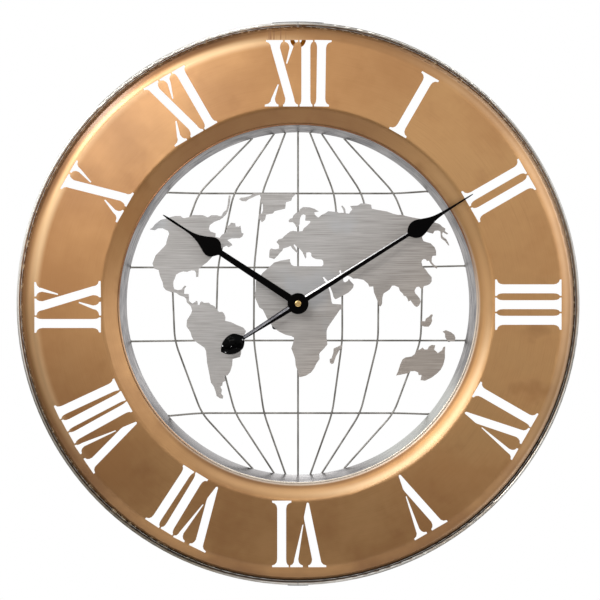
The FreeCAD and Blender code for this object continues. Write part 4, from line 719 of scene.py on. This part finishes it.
def grown(name, tree, sizes, finish, start=None, crisp=None):
    # The tree's result as a plain mesh, closed and facing outwards
    base = start or bpy.data.meshes.new(name + "Start")
    grower = bpy.data.objects.new(name + "Grower", base)
    bpy.context.scene.collection.objects.link(grower)
    modifier = grower.modifiers.new(name, "NODES")
    modifier.node_group = tree
    values = dict(sizes, Material=finish)
    for socket in tree.interface.items_tree:
        if socket.in_out == "INPUT" and socket.name in values:
            modifier[socket.identifier] = values[socket.name]
    bpy.context.view_layer.update()
    evaluated = grower.evaluated_get(bpy.context.evaluated_depsgraph_get())
    mesh = bpy.data.meshes.new_from_object(evaluated)
    bpy.data.objects.remove(grower)
    mesh.name = name
    mesh.materials.clear()
    mesh.materials.append(finish)
    work = bmesh.new()
    work.from_mesh(mesh)
    bmesh.ops.remove_doubles(work, verts=work.verts, dist=joinWithin)
    bmesh.ops.recalc_face_normals(work, faces=work.faces)
    work.to_mesh(mesh)
    work.free()
    if crisp:
        mesh.shade_smooth()
        mesh.set_sharp_from_angle(angle=math.radians(crisp))
    piece = bpy.data.objects.new(name, mesh)
    bpy.context.scene.collection.objects.link(piece)
    print("grown", name, "faces", len(mesh.polygons))
    return piece


# Beads of weld where the grid wires cross

weldLook = {"beadRadius": 0.00135, "beadDepth": 0.0007, "unevenness": 0.3, "seed": 11, "roundness": 3}
crossingRounds = 5  # each one brings the crossing of two bent wires nearer
cutWithin = 1e-7


def wireCentre(node, axis, value):
    # The middle of a wire's section where a plane across one axis cuts it
    work = bmesh.new()
    work.from_mesh(frame["nodes"][node].data)
    spot = Vector((0.0, 0.0, 0.0))
    spot[axis] = value
    way = Vector((0.0, 0.0, 0.0))
    way[axis] = 1.0
    cut = bmesh.ops.bisect_plane(work, geom=work.verts[:] + work.edges[:] + work.faces[:], plane_co=spot,
                                 plane_no=way, dist=cutWithin)["geom_cut"]
    found = [item.co.copy() for item in cut if isinstance(item, bmesh.types.BMVert)]
    work.free()
    if not found:
        return None
    low = Vector([min(co[i] for co in found) for i in range(3)])
    high = Vector([max(co[i] for co in found) for i in range(3)])
    return (low + high) / 2


def wireCrossings():
    parallels = [node for node in frame["nodes"] if node.startswith("parallel_wire")]
    meridians = [node for node in frame["nodes"] if node.startswith("meridian_wire")]
    spots = []
    for parallel in parallels:
        for meridian in meridians:
            low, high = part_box(meridian)
            across = (low.x + high.x) / 2
            for turn in range(crossingRounds):
                onParallel = wireCentre(parallel, 0, across)
                onMeridian = onParallel and wireCentre(meridian, 2, onParallel.z)
                if not onMeridian:
                    break
                across = onMeridian.x
            if onParallel and onMeridian:
                spots.append(Vector((across, (onParallel.y + onMeridian.y) / 2, onParallel.z)))
    return spots


def crossingWelds():
    look = weldLook
    tree, given = startShape("crossingWeldShape", look)
    ball = addNode(tree, "GeometryNodeMeshIcoSphere", {"Radius": 1.0, "Subdivisions": given["roundness"]})
    ball = addNode(tree, "GeometryNodeSetShadeSmooth", {"Geometry": ball.outputs[0]}).outputs[0]
    size = addNode(tree, "ShaderNodeCombineXYZ", {0: given["beadRadius"], 1: given["beadDepth"],
                                                  2: given["beadRadius"]}).outputs[0]
    least = maths(tree, "SUBTRACT", 1.0, given["unevenness"])
    change = addNode(tree, "FunctionNodeRandomValue", {"Min": least, "Max": 1.0, "Seed": given["seed"]},
                     data_type="FLOAT")
    change = next(socket for socket in change.outputs if socket.enabled)
    scale = addNode(tree, "ShaderNodeVectorMath", {0: size, "Scale": change}, operation="SCALE").outputs[0]
    beads = addNode(tree, "GeometryNodeInstanceOnPoints",
                    {"Points": given["Geometry"], "Instance": ball, "Scale": scale}).outputs[0]
    endShape(tree, given, beads)
    spots = wireCrossings()
    print("wire crossings", len(spots))
    start = bpy.data.meshes.new("crossingSpots")
    start.from_pydata(spots, [], [])
    piece = grown("crossingWelds", tree, look, finishes["steel_wire"], start)
    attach(piece, bodyOf["weld_beads"])


# Inner hoop: its section swept round the dial

hoopLook = {"taper": 0.0064, "wall": 0.0017, "lipHeight": 0.0034, "edge": 0.0005, "edgeSteps": 3,
            "steps": 256, "crispOver": 40.0}


def innerHoopSweep():
    look = hoopLook
    sizes = {"radius": bandRadius, "edge": look["edge"], "edgeSteps": look["edgeSteps"],
             "steps": look["steps"]}
    inner = bandRadius - look["wall"]
    back, front = -bandHigh.y, -bandLow.y
    lipBase = front - look["lipHeight"]
    section = [(inner - look["taper"], back), (inner, lipBase), (inner, front), (bandRadius, front),
               (bandRadius, lipBase), (bandRadius - look["taper"], back)]
    start = bpy.data.meshes.new("hoopSection")
    corners = [(radius - bandRadius, depth, 0.0) for radius, depth in section]
    start.from_pydata(corners, [(i, (i + 1) % len(corners)) for i in range(len(corners))], [])
    tree, given = startShape("innerHoopShape", sizes)
    outline = addNode(tree, "GeometryNodeMeshToCurve", {"Mesh": given["Geometry"]}).outputs[0]
    rounded = addNode(tree, "GeometryNodeFilletCurve",
                      {"Curve": outline, "Count": given["edgeSteps"], "Radius": given["edge"],
                       "Limit Radius": True}, mode="POLY").outputs[0]
    hoop = addNode(tree, "GeometryNodeCurvePrimitiveCircle",
                   {"Resolution": given["steps"], "Radius": given["radius"]}).outputs[0]
    upright = addNode(tree, "GeometryNodeSetCurveNormal", {"Curve": hoop}, mode="Z_UP").outputs[0]
    swept = addNode(tree, "GeometryNodeCurveToMesh", {"Curve": upright, "Profile Curve": rounded}).outputs[0]
    stood = addNode(tree, "GeometryNodeTransform",
                    {"Geometry": swept, "Rotation": (-quarterTurn, 0.0, 0.0), "Translation": dialCentre})
    endShape(tree, given, stood.outputs[0])
    piece = grown("innerHoopSweep", tree, sizes, finishes["grey_steel"], start, crisp=look["crispOver"])
    dress(piece, "inner_hoop")


# Coil winding: one wire in many turns

coilLook = {"turns": 58.0, "wire": 0.000105, "steps": 22, "wireSides": 6, "endGap": 0.00011,
            "crispOver": 60.0}


def coilTurns():
    look = coilLook
    low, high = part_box("coil_winding")
    sizes = {"length": high.x - low.x - 2 * look["endGap"], "radius": (high.y - low.y) / 2 - look["wire"],
             "wire": look["wire"], "turns": look["turns"], "steps": look["steps"],
             "sides": look["wireSides"]}
    tree, given = startShape("coilTurnShape", sizes)
    spiral = addNode(tree, "GeometryNodeCurveSpiral",
                     {"Resolution": given["steps"], "Rotations": given["turns"],
                      "Start Radius": given["radius"], "End Radius": given["radius"],
                      "Height": given["length"]}).outputs[0]
    section = addNode(tree, "GeometryNodeCurvePrimitiveCircle",
                      {"Resolution": given["sides"], "Radius": given["wire"]}).outputs[0]
    wound = addNode(tree, "GeometryNodeCurveToMesh",
                    {"Curve": spiral, "Profile Curve": section, "Fill Caps": True}).outputs[0]
    start = (low.x + look["endGap"], (low.y + high.y) / 2, (low.z + high.z) / 2)
    lain = addNode(tree, "GeometryNodeTransform",
                   {"Geometry": wound, "Rotation": (0.0, quarterTurn, 0.0), "Translation": start})
    endShape(tree, given, lain.outputs[0])
    dress(grown("coilTurns", tree, sizes, finishes["coil_wire"], crisp=look["crispOver"]), "coil_winding")


print("growing the repeated pieces")
crossingWelds()
innerHoopSweep()
coilTurns()


# Studio

studioLook = {
    "backdropLevel": 1.0, "ceilingLevel": 0.86, "floorLevel": 0.13, "horizonBlur": 0.22, "behindBlur": 0.35,
    "overheadStart": 0.74, "overheadEnd": 0.92, "overheadShare": 0.3,
    "floorDrop": 0.36, "floorHalf": 1.35, "floor": paint(238, 238, 238), "floorRoughness": 0.9,
    "fadeStart": 0.45, "fadeEnd": 0.98, "glow": (1.0, 1.0, 1.0, 1.0),
}


def studioWorld():
    # The camera, and metal turned to the back, see white, and the lit metal sees a dim room
    look = studioLook
    world = bpy.data.worlds.new("studioWorld")
    bpy.context.scene.world = world
    world.use_nodes = True
    tree = world.node_tree
    tree.nodes.clear()
    heading = addNode(tree, "ShaderNodeTexCoord").outputs["Generated"]
    parts = addNode(tree, "ShaderNodeSeparateXYZ", {0: heading}).outputs
    room = between(tree, parts[2], -look["horizonBlur"], look["horizonBlur"], look["floorLevel"],
                   look["ceilingLevel"])
    overhead = between(tree, parts[2], look["overheadStart"], look["overheadEnd"], 1.0, look["overheadShare"])
    room = times(tree, room, overhead)
    behind = between(tree, parts[1], 0.0, look["behindBlur"])
    roomColour = addNode(tree, "ShaderNodeCombineColor", {0: room, 1: room, 2: room}).outputs[0]
    rays = addNode(tree, "ShaderNodeLightPath").outputs
    mirrored = times(tree, rays["Is Glossy Ray"], behind)
    seen = maths(tree, "MAXIMUM", rays["Is Camera Ray"], rays["Is Transmission Ray"])
    shown = maths(tree, "MAXIMUM", seen, mirrored)
    white = (look["backdropLevel"],) * 3 + (1.0,)
    colour = mixed(tree, shown, roomColour, white)
    background = addNode(tree, "ShaderNodeBackground", {"Color": colour, "Strength": 1.0})
    output = tree.nodes.new("ShaderNodeOutputWorld")
    tree.links.new(background.outputs[0], output.inputs[0])


def studioFloor():
    # Pale paper that fades into the white backdrop at its edges
    look = studioLook
    half = look["floorHalf"]
    level = cadBox[0].z - look["floorDrop"]
    mesh = bpy.data.meshes.new("studioFloor")
    corners = [(-half, -half, level), (half, -half, level), (half, half, level), (-half, half, level)]
    mesh.from_pydata(corners, [], [(0, 1, 2, 3)])
    floor = bpy.data.objects.new("studioFloor", mesh)
    bpy.context.scene.collection.objects.link(floor)
    finish, tree, shader = startFinish("paleFloorPaper", 0.0, look["floorRoughness"])
    shader.inputs["Base Color"].default_value = look["floor"]
    spot = addNode(tree, "ShaderNodeTexCoord").outputs["Object"]
    middle = (0.0, 0.0, level)
    reach = addNode(tree, "ShaderNodeVectorMath", {0: spot, 1: middle}, operation="DISTANCE")
    fade = between(tree, reach.outputs["Value"], half * look["fadeStart"], half * look["fadeEnd"])
    glow = addNode(tree, "ShaderNodeEmission", {"Color": look["glow"], "Strength": 1.0})
    rays = addNode(tree, "ShaderNodeLightPath").outputs
    share = times(tree, fade, rays["Is Camera Ray"])
    blend = addNode(tree, "ShaderNodeMixShader", {0: share, 1: shader.outputs[0], 2: glow.outputs[0]})
    tree.links.new(blend.outputs[0], tree.nodes["Material Output"].inputs["Surface"])
    mesh.materials.append(finish)


lamps = {
    "keyLamp": {"place": (-0.44, -1.62, 0.50), "size": 0.5, "power": 3.6, "tint": (1.0, 0.985, 0.96)},
    "highLamp": {"place": (-1.2, -1.2, 1.2), "size": 0.42, "power": 12.5, "tint": (1.0, 0.99, 0.97)},
    "fillLamp": {"place": (1.3, -1.2, 0.3), "size": 1.2, "power": 4.0, "tint": (0.97, 0.98, 1.0)},
    "backLamp": {"place": (0.4, 1.3, 0.9), "size": 1.2, "power": 10.0, "tint": (1.0, 1.0, 1.0)},
}


def studioLamps():
    for name, look in lamps.items():
        data = bpy.data.lights.new(name, "AREA")
        data.shape = "DISK"
        data.size = look["size"]
        data.energy = look["power"]
        data.color = look["tint"]
        lamp = bpy.data.objects.new(name, data)
        lamp.location = dialCentre + Vector(look["place"])
        lamp.rotation_euler = (dialCentre - lamp.location).to_track_quat("-Z", "Y").to_euler()
        bpy.context.scene.collection.objects.link(lamp)


# The clock spans 564.3 pixels in the photo, about the centre given here, and the hoop makes it
# wider than its ring by the share given.

shotLook = {"distance": 1.5, "pixels": 600, "clockAcross": 564.3, "centreX": 298.0, "centreY": 303.6,
            "clockOverRing": 300.0 / 296.9, "sensor": 36.0}


def photoCamera():
    look = shotLook
    perPixel = 2 * rimRadius * look["clockOverRing"] / look["clockAcross"]
    data = bpy.data.cameras.new("photoCamera")
    data.sensor_width = look["sensor"]
    data.lens = look["sensor"] * look["distance"] / (perPixel * look["pixels"])
    camera = bpy.data.objects.new("photoCamera", data)
    half = look["pixels"] / 2
    side = (half - look["centreX"]) * perPixel
    lift = (look["centreY"] - half) * perPixel
    camera.location = dialCentre + Vector((side, ringFront - look["distance"], lift))
    camera.rotation_euler = (quarterTurn, 0, 0)
    bpy.context.scene.collection.objects.link(camera)
    bpy.context.scene.camera = camera
    print("lens", round(data.lens, 2))


print("setting up the studio")
studioWorld()
studioFloor()
studioLamps()
photoCamera()
bpy.context.scene.view_settings.view_transform = "Standard"

print("finishing")
